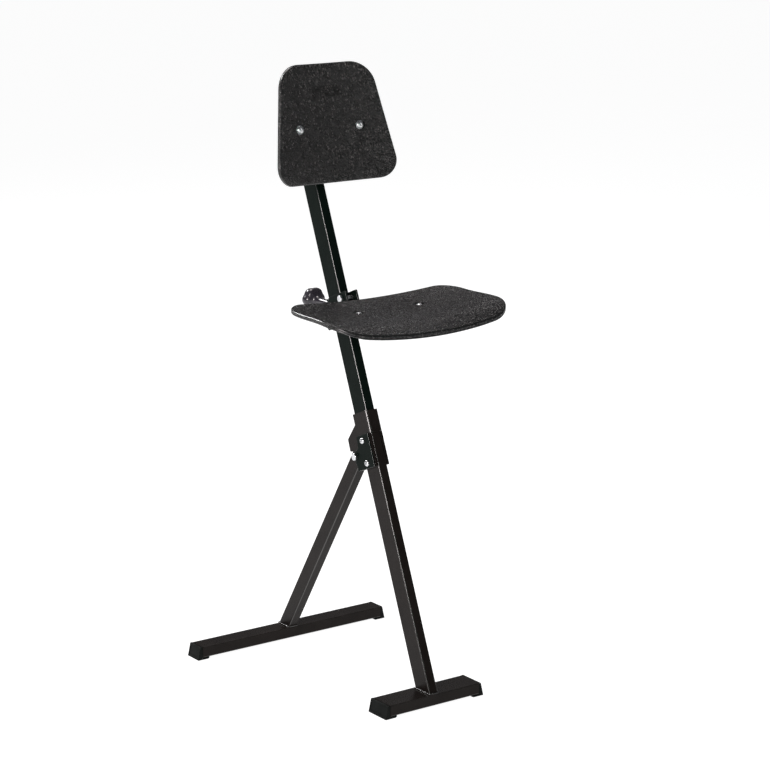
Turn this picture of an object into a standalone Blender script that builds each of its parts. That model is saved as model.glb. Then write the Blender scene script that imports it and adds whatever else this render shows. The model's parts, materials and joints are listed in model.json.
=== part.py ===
"""Folding sit-stand stool: a raked front post on a short foot, a rear leg that folds against it, a seat
on a clamp that slides along the post, and a backrest that tilts on a bracket. Metres, +Z up.

The user faces -Y. The origin is on the floor, in the middle of the footprint. Two directions are used
for most of the frame: `u` runs up the post from its foot point on the floor, and `v` runs square to the
post, rearward. In a post frame, local Y is v and local Z is u.
"""

import math

import bmesh
import bpy
from mathutils import Matrix, Vector

# Driving dimensions ---------------------------------------------------------------------------------

GAP = 0.0003  # left between pieces that touch

POST_TILT = math.radians(21.94)  # top leans to the rear
POST_BASE_Y = -0.2408  # where the post's centre line meets the floor
POST_WIDTH, POST_DEPTH = 0.020, 0.042
POST_JOINT_U = 0.540
POST_TOP_U = 1.150
TUBE_CORNER, TUBE_WALL = 0.0025, 0.002

LEG_TILT = math.radians(32.39)  # top leans to the front
LEG_WIDTH, LEG_DEPTH = 0.020, 0.0305
LEG_ABOVE_PIVOT, LEG_BEHIND_PIVOT = 0.0104, 0.0044  # the tube's top end, and its middle line
PIVOT_U, PIVOT_V = 0.4839, 0.0364

FOOT_GAP = 0.004  # air under the foot tubes, made by the pads of the caps
FRONT_FOOT_Y, FRONT_FOOT_DEPTH, FRONT_FOOT_HEIGHT, FRONT_FOOT_HALF = -0.2296, 0.0558, 0.0217, 0.1136
REAR_FOOT_Y, REAR_FOOT_DEPTH, REAR_FOOT_HEIGHT, REAR_FOOT_HALF = 0.2372, 0.0405, 0.0221, 0.2250
CAP_OVERHANG = 0.011  # how far a cap reaches past the end of its tube, at the bottom
CAP_SLOPE = 0.006  # how much less it reaches at the top
PAD_LENGTH = 0.024

BRACKET_THICK = 0.004
BRACKET_TOP_U, BRACKET_LEDGE_U, BRACKET_BOTTOM_U = 0.562, 0.520, 0.455
BRACKET_BOLTS_UV = ((0.5089, 0.0030), (0.4654, 0.0035))
CHEEK_THICK = 0.0025

BOLT_RADIUS, HEX_FLATS, HEX_HEAD, NUT_THICK = 0.004, 0.013, 0.0052, 0.0065  # the M8 bolts and their nuts
SCREW_RADIUS, SCREW_NUT_FLATS, SCREW_NUT_THICK = 0.003, 0.010, 0.005  # the M6 screws and their nuts
BUTTON_RADIUS, BUTTON_HEAD = 0.006, 0.0033
THREAD_SHOWN = 0.009  # how far a bolt reaches past its grip

CLAMP_TOP_U, CLAMP_FRONT_V = 0.7885, -0.0445
CLAMP_THICK = 0.004
CLAMP_BOLT_UV = (0.777, -0.0285)
CLAMP_LOW_BOLT_UV = (0.742, -0.0285)
WEB_FRONT_Y, WEB_THICK, WEB_TOP_Z = 0.0735, 0.004, 0.722
STUD_Z, STUD_RADIUS = 0.710, 0.005
KNOB_RADIUS, KNOB_FRONT_Y, KNOB_BACK_Y, KNOB_LOBES = 0.0235, 0.1280, 0.1520, 6

SEAT_MIDDLE_Y = -0.1109  # the line of the two seat screws
SEAT_TOP_Z = 0.7329
SEAT_REAR_HALF, SEAT_FRONT_HALF = 0.190, 0.202
SEAT_REAR_Y, SEAT_FRONT_Y = -0.0430, -0.2410
SEAT_REAR_BOW, SEAT_FRONT_BOW = 0.003, 0.012
SEAT_REAR_CORNER, SEAT_FRONT_CORNER = 0.047, 0.064
SEAT_THICK, SEAT_EDGE = 0.0085, 0.0034
SEAT_SCREW_X = 0.0686
BUFFER_X, BUFFER_Y, BUFFER_GAP = 0.139, -0.2185, 0.0012
CROSS_PLATE_TOP_Z, CROSS_PLATE_THICK, CROSS_PLATE_DEPTH = 0.7190, 0.004, 0.040
ARM_FRONT_Y, ARM_HEIGHT = -0.165, 0.014

BACK_TILT = math.radians(10.5)
BACK_SCREW_Y, BACK_SCREW_Z, BACK_SCREW_X = 0.0765, 1.0477, 0.0677
BACK_TOP, BACK_BOTTOM = 0.1203, 0.1032  # above and below the screws, along the shell
BACK_TOP_HALF, BACK_BOTTOM_HALF = 0.1000, 0.1396
BACK_TOP_CORNER, BACK_BOTTOM_CORNER = 0.052, 0.034
BACK_CURVE = 1.25  # forward rise of the sides is this times x squared
BACK_THICK, BACK_EDGE = 0.010, 0.004
BACK_PIVOT_BEHIND = 0.036
BACK_PLATE_THICK = 0.003
BACK_ARM_THICK = 0.003


# Materials ------------------------------------------------------------------------------------------


def material(name, colour, roughness, metallic):
    made = bpy.data.materials.new(name)
    made.use_nodes = True
    shader = made.node_tree.nodes["Principled BSDF"]
    shader.inputs["Base Color"].default_value = (*colour, 1.0)
    shader.inputs["Roughness"].default_value = roughness
    shader.inputs["Metallic"].default_value = metallic
    return made


def make_materials():
    return {
        "frame": material("frame_powder_coat", (0.020, 0.017, 0.015), 0.38, 0.0),
        "post": material("post_powder_coat", (0.012, 0.016, 0.014), 0.32, 0.0),
        "seat": material("shell_foam_skin", (0.020, 0.018, 0.018), 0.55, 0.0),
        "cap": material("cap_plastic", (0.010, 0.010, 0.011), 0.45, 0.0),
        "knob": material("knob_plastic", (0.030, 0.027, 0.034), 0.20, 0.0),
        "zinc": material("zinc_plate", (0.62, 0.63, 0.64), 0.28, 1.0),
        "rubber": material("rubber", (0.012, 0.012, 0.012), 0.75, 0.0),
    }


# Building blocks ------------------------------------------------------------------------------------


def add_object(name, bm, finish, parent=None, location=(0, 0, 0), rotation=(0, 0, 0)):
    """Turns a bmesh into a named object with outward faces, smooth where it is round."""
    bmesh.ops.remove_doubles(bm, verts=bm.verts, dist=1e-7)
    bmesh.ops.recalc_face_normals(bm, faces=bm.faces)
    mesh = bpy.data.meshes.new(name)
    bm.to_mesh(mesh)
    bm.free()
    mesh.shade_smooth()
    mesh.set_sharp_from_angle(angle=math.radians(35))
    mesh.materials.append(finish)
    made = bpy.data.objects.new(name, mesh)
    bpy.context.scene.collection.objects.link(made)
    made.parent = parent
    made.location = location
    made.rotation_euler = rotation
    return made


def add_axis(name, location, tilt=0.0, parent=None):
    """An empty on a joint's axis, or at the foot of the post."""
    made = bpy.data.objects.new(name, None)
    made.location = location
    made.rotation_euler = (tilt, 0, 0)
    made.parent = parent
    bpy.context.scene.collection.objects.link(made)
    return made


def add_boolean(target, tool, operation):
    tool.hide_render = True
    tool.display_type = "WIRE"
    step = target.modifiers.new(f"{operation.lower()}_{tool.name}", "BOOLEAN")
    step.operation = operation
    step.object = tool
    step.solver = "EXACT"


def arc(centre, radius, start, end, steps):
    """Points on an arc from start to end degrees, both included."""
    points = []
    for step in range(steps + 1):
        angle = math.radians(start + (end - start) * step / steps)
        points.append((centre[0] + radius * math.cos(angle), centre[1] + radius * math.sin(angle)))
    return points


def rounded_rectangle(width, depth, corner, steps=3):
    w, d = width / 2 - corner, depth / 2 - corner
    return (
        arc((w, d), corner, 0, 90, steps)
        + arc((-w, d), corner, 90, 180, steps)
        + arc((-w, -d), corner, 180, 270, steps)
        + arc((w, -d), corner, 270, 360, steps)
    )


def filleted(corners, steps=6):
    """Outline through (point, radius) corners, each rounded to its own radius."""
    outline = []
    count = len(corners)
    for index, (here, radius) in enumerate(corners):
        here = Vector(here)
        before = (Vector(corners[index - 1][0]) - here).normalized()
        after = (Vector(corners[(index + 1) % count][0]) - here).normalized()
        if radius <= 0:
            outline.append(tuple(here))
            continue
        half = before.angle(after) / 2
        centre = here + (before + after).normalized() * radius / math.sin(half)
        start = here + before * radius / math.tan(half) - centre
        end = here + after * radius / math.tan(half) - centre
        turn = start.angle(end)
        for step in range(steps + 1):
            part = step / steps
            spoke = start * math.sin((1 - part) * turn) + end * math.sin(part * turn)
            outline.append(tuple(centre + spoke / math.sin(turn)))
    return outline


def rings_to_mesh(rings, closed_ends=True, loop=False):
    """Joins rings of equal length into a skin, with flat ends or with the last ring joined to the first."""
    bm = bmesh.new()
    made = [[bm.verts.new(point) for point in ring] for ring in rings]
    pairs = list(zip(made, made[1:]))
    if loop:
        pairs.append((made[-1], made[0]))
    for lower, upper in pairs:
        for index in range(len(lower)):
            after = (index + 1) % len(lower)
            bm.faces.new((lower[index], lower[after], upper[after], upper[index]))
    if closed_ends and not loop:
        bm.faces.new(list(reversed(made[0])))
        bm.faces.new(made[-1])
    return bm


def tube(outer, wall, corner, bottom, top):
    """Open rectangular tube along Z. bottom and top give the end height at a given local Y."""
    outside = rounded_rectangle(*outer, corner)
    inside = rounded_rectangle(outer[0] - 2 * wall, outer[1] - 2 * wall, max(corner - wall, 0.0005))
    rings = []
    for outline, level in ((outside, bottom), (outside, top), (inside, top), (inside, bottom)):
        rings.append([(x, y, level(y)) for x, y in outline])
    return rings_to_mesh(rings, loop=True)


def slab(outline, low, high, axis="X"):
    """Extrudes an outline along an axis. The outline is (Y, Z) for X, (X, Z) for Y and (X, Y) for Z."""
    place = {
        "X": lambda a, b, along: (along, a, b),
        "Y": lambda a, b, along: (a, along, b),
        "Z": lambda a, b, along: (a, b, along),
    }[axis]
    return rings_to_mesh([[place(a, b, along) for a, b in outline] for along in (low, high)])


def box(low, high):
    (x0, y0, z0), (x1, y1, z1) = low, high
    return slab([(y0, z0), (y1, z0), (y1, z1), (y0, z1)], x0, x1)


def turned(profile, segments=12, loop=False, lobes=0, lobe_depth=0.0):
    """Turns (height, radius, kind) steps about Z. kind is round, hex (radius to the flats) or lobed."""
    rings = []
    for height, radius, kind in profile:
        ring = []
        for index in range(segments):
            angle = 2 * math.pi * index / segments
            reach = radius
            if kind == "hex":
                off_flat = (angle + math.pi / 6) % (math.pi / 3) - math.pi / 6
                reach = radius / math.cos(off_flat)
            elif kind == "lobed":
                reach = radius * (1 - lobe_depth * (0.5 + 0.5 * math.cos(lobes * angle + math.pi)))
            ring.append((reach * math.cos(angle), reach * math.sin(angle), height))
        rings.append(ring)
    return rings_to_mesh(rings, loop=loop)


def hex_bolt(grip):
    """Hex bolt with its seat at height 0, its head above, and its shank through the grip."""
    tip = -(grip + THREAD_SHOWN)
    flats = HEX_FLATS / 2
    return turned(
        [
            (tip, BOLT_RADIUS - 0.0006, "round"),
            (tip + 0.0006, BOLT_RADIUS, "round"),
            (0.0, BOLT_RADIUS, "round"),
            (0.0, flats, "hex"),
            (HEX_HEAD - 0.0008, flats, "hex"),
            (HEX_HEAD, flats - 0.0009, "round"),
        ]
    )


def button_screw(grip):
    """Round-headed M6 screw with its seat at height 0."""
    tip = -(grip + THREAD_SHOWN)
    return turned(
        [
            (tip, SCREW_RADIUS - 0.0005, "round"),
            (tip + 0.0005, SCREW_RADIUS, "round"),
            (0.0, SCREW_RADIUS, "round"),
            (0.0, BUTTON_RADIUS, "round"),
            (BUTTON_HEAD * 0.45, BUTTON_RADIUS * 0.92, "round"),
            (BUTTON_HEAD * 0.85, BUTTON_RADIUS * 0.65, "round"),
            (BUTTON_HEAD, BUTTON_RADIUS * 0.40, "round"),
        ]
    )


def hex_nut(radius, flats, thick):
    """Nut from height 0 to thick, with a clear bore."""
    bore = radius + GAP
    return turned(
        [
            (0.0, bore, "round"),
            (0.0, flats / 2, "hex"),
            (thick - 0.0007, flats / 2, "hex"),
            (thick, flats / 2 - 0.0006, "round"),
            (thick, bore, "round"),
        ],
        loop=True,
    )


def sleeve(bore, radius, half):
    """Plain tube from -half to half."""
    wall = [(-half, bore, "round"), (-half, radius, "round"), (half, radius, "round"), (half, bore, "round")]
    return turned(wall, loop=True)


def cylinder(radius, low, high):
    return turned([(low, radius, "round"), (high, radius, "round")])


def hole_tool(name, radius, low, high, parent, location, rotation):
    tool = add_object(name, cylinder(radius, low, high), None, parent, location, rotation)
    tool.hide_render = True
    tool.display_type = "WIRE"
    return tool


ALONG_X = (0, math.pi / 2, 0)  # turns local +Z to +X
ALONG_MINUS_X = (0, -math.pi / 2, 0)
ALONG_Y = (-math.pi / 2, 0, 0)  # turns local +Z to +Y


def post_point(u, v):
    """World (y, z) of a point of the post frame."""
    sine, cosine = math.sin(POST_TILT), math.cos(POST_TILT)
    return POST_BASE_Y + u * sine + v * cosine, u * cosine - v * sine


def to_post(y, z):
    """(v, u) of a world point."""
    sine, cosine = math.sin(POST_TILT), math.cos(POST_TILT)
    return (y - POST_BASE_Y) * cosine - z * sine, (y - POST_BASE_Y) * sine + z * cosine


# Feet -----------------------------------------------------------------------------------------------


def make_foot(prefix, y, depth, height, half, finishes):
    """A tube laid across on two plastic caps, whose pads keep it clear of the floor."""
    middle_z = FOOT_GAP + height / 2
    tube_half = half - CAP_OVERHANG
    bm = tube((depth, height), TUBE_WALL, TUBE_CORNER, lambda _: -tube_half, lambda _: tube_half)
    # Local X of the profile becomes world Y, local Y becomes world Z, and local Z becomes world X.
    lay_across = Matrix(((0, 0, 1, 0), (1, 0, 0, 0), (0, 1, 0, 0), (0, 0, 0, 1)))
    bmesh.ops.transform(bm, verts=bm.verts, matrix=lay_across)
    add_object(f"{prefix}_foot_tube", bm, finishes["frame"], None, (0, y, middle_z))
    for side, name in ((-1, "left"), (1, "right")):
        make_foot_cap(f"{prefix}_foot_cap_{name}", side, y, depth, height, half, finishes["cap"])


def make_foot_cap(name, side, y, depth, height, half, finish):
    """End cap: a sloping end, a pad that wraps under the tube, and a plug inside the tube."""
    start = half - CAP_OVERHANG + GAP
    under = FOOT_GAP - GAP
    top = FOOT_GAP + height
    profile = filleted(
        [
            ((start, top), 0),
            ((half - CAP_SLOPE, top), 0.0025),
            ((half, 0.0), 0.001),
            ((half - PAD_LENGTH, 0.0), 0),
            ((half - PAD_LENGTH - 0.003, under), 0),
            ((start, under), 0),
        ],
        steps=3,
    )
    bm = slab([(x * side, z) for x, z in profile], y - depth / 2, y + depth / 2, "Y")
    cap = add_object(name, bm, finish)
    soften = cap.modifiers.new("soft_edges", "BEVEL")
    soften.width = 0.0012
    soften.segments = 2
    soften.limit_method = "ANGLE"
    soften.angle_limit = math.radians(50)
    wall = TUBE_WALL + GAP
    ends = sorted((side * (start - 0.014), side * (start + 0.002)))
    plug = box((ends[0], y - depth / 2 + wall, FOOT_GAP + wall), (ends[1], y + depth / 2 - wall, top - wall))
    add_boolean(cap, add_object(f"{name}_plug", plug, finish), "UNION")


# Front post and hinge bracket -----------------------------------------------------------------------


def make_front_post(finishes):
    """The two post tubes, the insert between them and the top plug, in the post's own frame."""
    post = add_axis("front_post_axis", (0, POST_BASE_Y, 0), -POST_TILT)
    foot_top = FOOT_GAP + FRONT_FOOT_HEIGHT + GAP

    def mitre(v):
        return (foot_top + v * math.sin(POST_TILT)) / math.cos(POST_TILT)

    size = (POST_WIDTH, POST_DEPTH)
    lower = tube(size, TUBE_WALL, TUBE_CORNER, mitre, lambda _: POST_JOINT_U - GAP / 2)
    upper = tube(size, TUBE_WALL, TUBE_CORNER, lambda _: POST_JOINT_U + GAP / 2, lambda _: POST_TOP_U)
    lower = add_object("front_post_lower_tube", lower, finishes["frame"], post)
    upper = add_object("front_post_upper_tube", upper, finishes["post"], post)
    slack = 2 * (TUBE_WALL + GAP)
    inner = (POST_WIDTH - slack, POST_DEPTH - slack)
    insert = tube(inner, TUBE_WALL, 0.001, lambda _: 0.440, lambda _: 0.640)
    insert = add_object("front_post_insert", insert, finishes["zinc"], post)

    plug_rings = []
    for outline, level in (
        (rounded_rectangle(*inner, 0.001), POST_TOP_U - 0.012),
        (rounded_rectangle(*inner, 0.001), POST_TOP_U + GAP),
        (rounded_rectangle(*size, TUBE_CORNER), POST_TOP_U + GAP),
        (rounded_rectangle(*size, TUBE_CORNER), POST_TOP_U + 0.002),
        (rounded_rectangle(POST_WIDTH - 0.004, POST_DEPTH - 0.004, 0.001), POST_TOP_U + 0.0035),
    ):
        plug_rings.append([(x, y, level) for x, y in outline])
    add_object("front_post_top_plug", rings_to_mesh(plug_rings), finishes["cap"], post)
    return post, lower, upper, insert


def bracket_outline():
    """Side of the hinge bracket as (v, u): flush with the post, with a waist and an ear at the rear."""
    pivot = (PIVOT_V, PIVOT_U)
    lug = arc(pivot, 0.009, 100, -60, 6)
    return [
        (-0.021, BRACKET_BOTTOM_U),
        (-0.021, 0.530),
        (-0.017, BRACKET_TOP_U),
        (0.020, BRACKET_TOP_U),
        (0.020, 0.542),
        (0.054, 0.520),
        (0.055, 0.4965),
        *lug,
        (0.037, BRACKET_BOTTOM_U),
    ]


def cheek_outline():
    """Side of a cheek plate as (v, u): over the lower half of the bracket and out to the pivot."""
    lug = arc((PIVOT_V, PIVOT_U), 0.0085, 95, -60, 6)
    return [
        (-0.0185, BRACKET_BOTTOM_U + 0.0005),
        (-0.0185, BRACKET_LEDGE_U),
        (0.0205, BRACKET_LEDGE_U),
        (0.0225, 0.4985),
        *lug,
        (0.037, BRACKET_BOTTOM_U + 0.0005),
    ]


def make_hinge_bracket(post, tubes, finishes):
    """A bent plate round the front of the post whose ears carry the rear leg, with its plates and bolts."""
    inner = POST_WIDTH / 2 + GAP
    outer = inner + BRACKET_THICK
    front = -POST_DEPTH / 2 - GAP
    sunk = 0.0001  # keeps the collar just inside the faces of the side plates that it joins
    bend = 0.005
    bend_x, bend_y = outer - sunk - bend, front - BRACKET_THICK + bend
    collar_outline = (
        [(outer - sunk, -0.002)]
        + arc((bend_x, bend_y), bend, 0, -90, 5)
        + arc((-bend_x, bend_y), bend, 270, 180, 5)
        + [(-outer + sunk, -0.002), (-inner - sunk, -0.002), (-inner - sunk, front)]
        + [(inner + sunk, front), (inner + sunk, -0.002)]
    )
    bracket = slab(collar_outline, BRACKET_LEDGE_U, BRACKET_TOP_U, "Z")
    bracket = add_object("hinge_bracket", bracket, finishes["frame"], post)
    for side, name in ((-1, "left"), (1, "right")):
        ends = sorted((side * inner, side * outer))
        plate = add_object(f"hinge_bracket_side_{name}", slab(bracket_outline(), *ends), None, post)
        add_boolean(bracket, plate, "UNION")

    pierced = [bracket, tubes["lower"], tubes["insert"]]
    cheeks = []
    cheek_inner = outer + GAP
    for side, name in ((-1, "left"), (1, "right")):
        ends = sorted((side * cheek_inner, side * (cheek_inner + CHEEK_THICK)))
        cheek = slab(cheek_outline(), *ends)
        cheeks.append(add_object(f"hinge_cheek_{name}", cheek, finishes["post"], post))

    face = cheek_inner + CHEEK_THICK + GAP
    for (u, v), name in zip(BRACKET_BOLTS_UV, ("upper", "lower")):
        at = (0, v, u)
        tool = hole_tool(f"hinge_bolt_{name}_hole", SCREW_RADIUS + GAP, -0.03, 0.03, post, at, ALONG_X)
        for target in pierced + cheeks:
            add_boolean(target, tool, "DIFFERENCE")
        bolt = button_screw(2 * face)
        add_object(f"hinge_bolt_{name}", bolt, finishes["zinc"], post, (-face, v, u), ALONG_MINUS_X)
        nut = hex_nut(SCREW_RADIUS, SCREW_NUT_FLATS, SCREW_NUT_THICK)
        add_object(f"hinge_nut_{name}", nut, finishes["zinc"], post, (face, v, u), ALONG_X)

    tool = hole_tool("pivot_hole", BOLT_RADIUS + GAP, -0.03, 0.03, post, (0, PIVOT_V, PIVOT_U), ALONG_X)
    for target in [bracket] + cheeks:
        add_boolean(target, tool, "DIFFERENCE")
    place = (-face, PIVOT_V, PIVOT_U)
    add_object("leg_pivot_bolt", hex_bolt(2 * face), finishes["zinc"], post, place, ALONG_MINUS_X)
    nut = hex_nut(BOLT_RADIUS, HEX_FLATS, NUT_THICK)
    add_object("leg_pivot_nut", nut, finishes["zinc"], post, (face, PIVOT_V, PIVOT_U), ALONG_X)


# Rear leg -------------------------------------------------------------------------------------------


def make_rear_leg(finishes):
    """Leg tube and its bush, in a frame on the pivot whose -Z runs down the leg."""
    pivot_y, pivot_z = post_point(PIVOT_U, PIVOT_V)
    leg = add_axis("rear_leg_pivot_axis", (0, pivot_y, pivot_z), LEG_TILT)
    foot_top = FOOT_GAP + REAR_FOOT_HEIGHT + GAP

    def mitre(y):
        y += LEG_BEHIND_PIVOT
        return (foot_top - pivot_z - y * math.sin(LEG_TILT)) / math.cos(LEG_TILT)

    bm = tube((LEG_WIDTH, LEG_DEPTH), TUBE_WALL, 0.002, mitre, lambda _: LEG_ABOVE_PIVOT - 0.0015)
    bmesh.ops.translate(bm, verts=bm.verts, vec=(0, LEG_BEHIND_PIVOT, 0))
    tube_object = add_object("rear_leg_tube", bm, finishes["frame"], leg)
    bush_radius = 0.0062
    tool = hole_tool("leg_bush_hole", bush_radius + GAP, -0.02, 0.02, leg, (0, 0, 0), ALONG_X)
    add_boolean(tube_object, tool, "DIFFERENCE")
    half = LEG_WIDTH / 2
    bore = BOLT_RADIUS + GAP
    bush = sleeve(bore, bush_radius, half)
    add_object("leg_pivot_bush", bush, finishes["zinc"], leg, (0, 0, 0), ALONG_X)

    slack = 2 * (TUBE_WALL + GAP)
    inner = rounded_rectangle(LEG_WIDTH - slack, LEG_DEPTH - slack, 0.0008)
    outer = rounded_rectangle(LEG_WIDTH, LEG_DEPTH, 0.002)
    tube_top = LEG_ABOVE_PIVOT - 0.0015
    seat = tube_top + GAP
    rings = []
    for outline, level in ((inner, 0.0075), (inner, seat), (outer, seat), (outer, LEG_ABOVE_PIVOT)):
        rings.append([(x, y + LEG_BEHIND_PIVOT, level) for x, y in outline])
    add_object("rear_leg_top_plug", rings_to_mesh(rings), finishes["cap"], leg)
    return leg


# Seat carrier and clamp -----------------------------------------------------------------------------


def clamp_side_outline():
    """Side plate as (y, z): a block beside the post, and an arm that runs forward under the seat."""
    arm_top = CROSS_PLATE_TOP_Z - CROSS_PLATE_THICK - GAP
    front_foot = post_point(0.7505, CLAMP_FRONT_V)
    return filleted(
        [
            (post_point(CLAMP_TOP_U, CLAMP_FRONT_V), 0.002),
            (post_point(CLAMP_TOP_U, 0.0125), 0.003),
            (post_point(0.7785, 0.0195), 0),
            (post_point(0.7335, 0.0400), 0.003),
            (post_point(0.7290, 0.0360), 0),
            (post_point(0.7290, -0.0350), 0.006),
            ((ARM_FRONT_Y, arm_top - ARM_HEIGHT), 0.004),
            ((ARM_FRONT_Y, arm_top), 0.002),
            ((front_foot[0], arm_top), 0.004),
        ],
        steps=4,
    )


def make_seat_carrier(slide, finishes):
    """Clamp plates, web, cross bolts and the cross plate under the seat. slide is the empty on the post."""
    home = Vector(slide.location)
    inner = POST_WIDTH / 2 + GAP
    outer = inner + CLAMP_THICK
    outline = [(y - home.y, z - home.z) for y, z in clamp_side_outline()]
    sides = []
    for side, name in ((-1, "left"), (1, "right")):
        ends = sorted((side * inner, side * outer))
        sides.append(add_object(f"seat_arm_{name}", slab(outline, *ends), finishes["post"], slide))

    bottom_z = post_point(0.7290, 0.0360)[1] + 0.002
    half = inner - GAP
    web = box(
        (-half, WEB_FRONT_Y - home.y, bottom_z - home.z),
        (half, WEB_FRONT_Y + WEB_THICK - home.y, WEB_TOP_Z - home.z),
    )
    web = add_object("clamp_web", web, finishes["post"], slide)
    at = (0, WEB_FRONT_Y - home.y, STUD_Z - home.z)
    tool = hole_tool("stud_hole", STUD_RADIUS + GAP, -0.01, 0.02, slide, at, ALONG_Y)
    add_boolean(web, tool, "DIFFERENCE")
    nut_at = (0, WEB_FRONT_Y + WEB_THICK + GAP - home.y, STUD_Z - home.z)
    nut = hex_nut(STUD_RADIUS, 0.0165, 0.007)
    add_object("clamp_weld_nut", nut, finishes["post"], slide, nut_at, ALONG_Y)

    face = outer + GAP
    for (u, v), name in ((CLAMP_BOLT_UV, "upper"), (CLAMP_LOW_BOLT_UV, "lower")):
        y, z = post_point(u, v)
        place = (0, y - home.y, z - home.z)
        tool = hole_tool(f"clamp_bolt_{name}_hole", BOLT_RADIUS + GAP, -0.03, 0.03, slide, place, ALONG_X)
        for target in sides:
            add_boolean(target, tool, "DIFFERENCE")
        bolt = hex_bolt(2 * face)
        add_object(f"clamp_bolt_{name}", bolt, finishes["zinc"], slide, (-face, *place[1:]), ALONG_MINUS_X)
        nut = hex_nut(BOLT_RADIUS, HEX_FLATS, NUT_THICK)
        add_object(f"clamp_nut_{name}", nut, finishes["zinc"], slide, (face, *place[1:]), ALONG_X)

    low_z = CROSS_PLATE_TOP_Z - CROSS_PLATE_THICK
    plate_half = SEAT_SCREW_X + 0.018
    middle = SEAT_MIDDLE_Y
    outline = filleted(
        [
            ((plate_half, middle - CROSS_PLATE_DEPTH / 2), 0.006),
            ((plate_half, middle + CROSS_PLATE_DEPTH / 2), 0.006),
            ((-plate_half, middle + CROSS_PLATE_DEPTH / 2), 0.006),
            ((-plate_half, middle - CROSS_PLATE_DEPTH / 2), 0.006),
        ],
        steps=3,
    )
    outline = [(x, y - home.y) for x, y in outline]
    plate = slab(outline, low_z - home.z, CROSS_PLATE_TOP_Z - home.z, "Z")
    plate = add_object("seat_cross_plate", plate, finishes["frame"], slide)
    return plate


# Shells ---------------------------------------------------------------------------------------------


def seat_outline():
    """Plan of the seat as (x, y): rounded corners, a bowed front edge, sides that widen to the front."""
    steps = 8
    rear = []
    front = []
    for step in range(1, steps):
        part = -1 + 2 * step / steps
        rear.append((part * SEAT_REAR_HALF, SEAT_REAR_Y + SEAT_REAR_BOW * (1 - part**2)))
        front.append((-part * SEAT_FRONT_HALF, SEAT_FRONT_Y - SEAT_FRONT_BOW * (1 - part**2)))
    corners = [((-SEAT_REAR_HALF, SEAT_REAR_Y), SEAT_REAR_CORNER)]
    corners += [(point, 0) for point in rear[1:-1]]
    corners += [((SEAT_REAR_HALF, SEAT_REAR_Y), SEAT_REAR_CORNER)]
    corners += [((SEAT_FRONT_HALF, SEAT_FRONT_Y), SEAT_FRONT_CORNER)]
    corners += [(point, 0) for point in front[2:-2]]
    corners += [((-SEAT_FRONT_HALF, SEAT_FRONT_Y), SEAT_FRONT_CORNER)]
    return filleted(corners, steps=5)


def seat_height(x, y):
    """Top of the seat: raised at the rear and at the sides, with a front edge that falls away."""
    s = (y - SEAT_MIDDLE_Y) / 0.1
    fall = max(0.0, -0.2112 - y) / 0.08
    along = 0.001 * s + 0.008 * s**2 + 0.0114 * s**3
    return SEAT_TOP_Z + along + 0.0106 * (x / 0.18) ** 2 - 0.0068 * fall**2


def back_outline():
    """Face of the backrest as (x, height above the screws): a trapezium with round corners."""
    return filleted(
        [
            ((-BACK_BOTTOM_HALF, -BACK_BOTTOM), BACK_BOTTOM_CORNER),
            ((-BACK_TOP_HALF, BACK_TOP), BACK_TOP_CORNER),
            ((BACK_TOP_HALF, BACK_TOP), BACK_TOP_CORNER),
            ((BACK_BOTTOM_HALF, -BACK_BOTTOM), BACK_BOTTOM_CORNER),
        ],
        steps=5,
    )


def back_depth(x):
    """How far behind the screws the face of the backrest lies: deepest in the middle."""
    return BACK_CURVE * (BACK_SCREW_X**2 - x**2)


def shell_rings(outline, centre, level, thick, edge):
    """Rings of a dished shell, from the middle of its face, over its round edge, to its underside.

    level(a, b) gives the face. The result is a list of rings of (a, b, level) points, face first.
    """
    spread = (0.03, 0.35, 0.65, 0.87)
    reach = [math.hypot(a - centre[0], b - centre[1]) for a, b in outline]

    def ring(scale_of, drop):
        points = []
        for (a, b), far in zip(outline, reach):
            scale = scale_of(far)
            x = centre[0] + (a - centre[0]) * scale
            y = centre[1] + (b - centre[1]) * scale
            points.append((x, y, level(x, y) - drop))
        return points

    rings = [ring(lambda far, part=part: part * (far - edge) / far, 0.0) for part in spread]
    for turn in (0, 45, 90, 135, 180):
        angle = math.radians(turn)
        inset = edge * (1 - math.sin(angle))
        drop = thick / 2 * (1 - math.cos(angle))
        rings.append(ring(lambda far, inset=inset: (far - inset) / far, drop))
    rings += [ring(lambda far, part=part: part * (far - edge) / far, thick) for part in reversed(spread)]
    return rings


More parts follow.
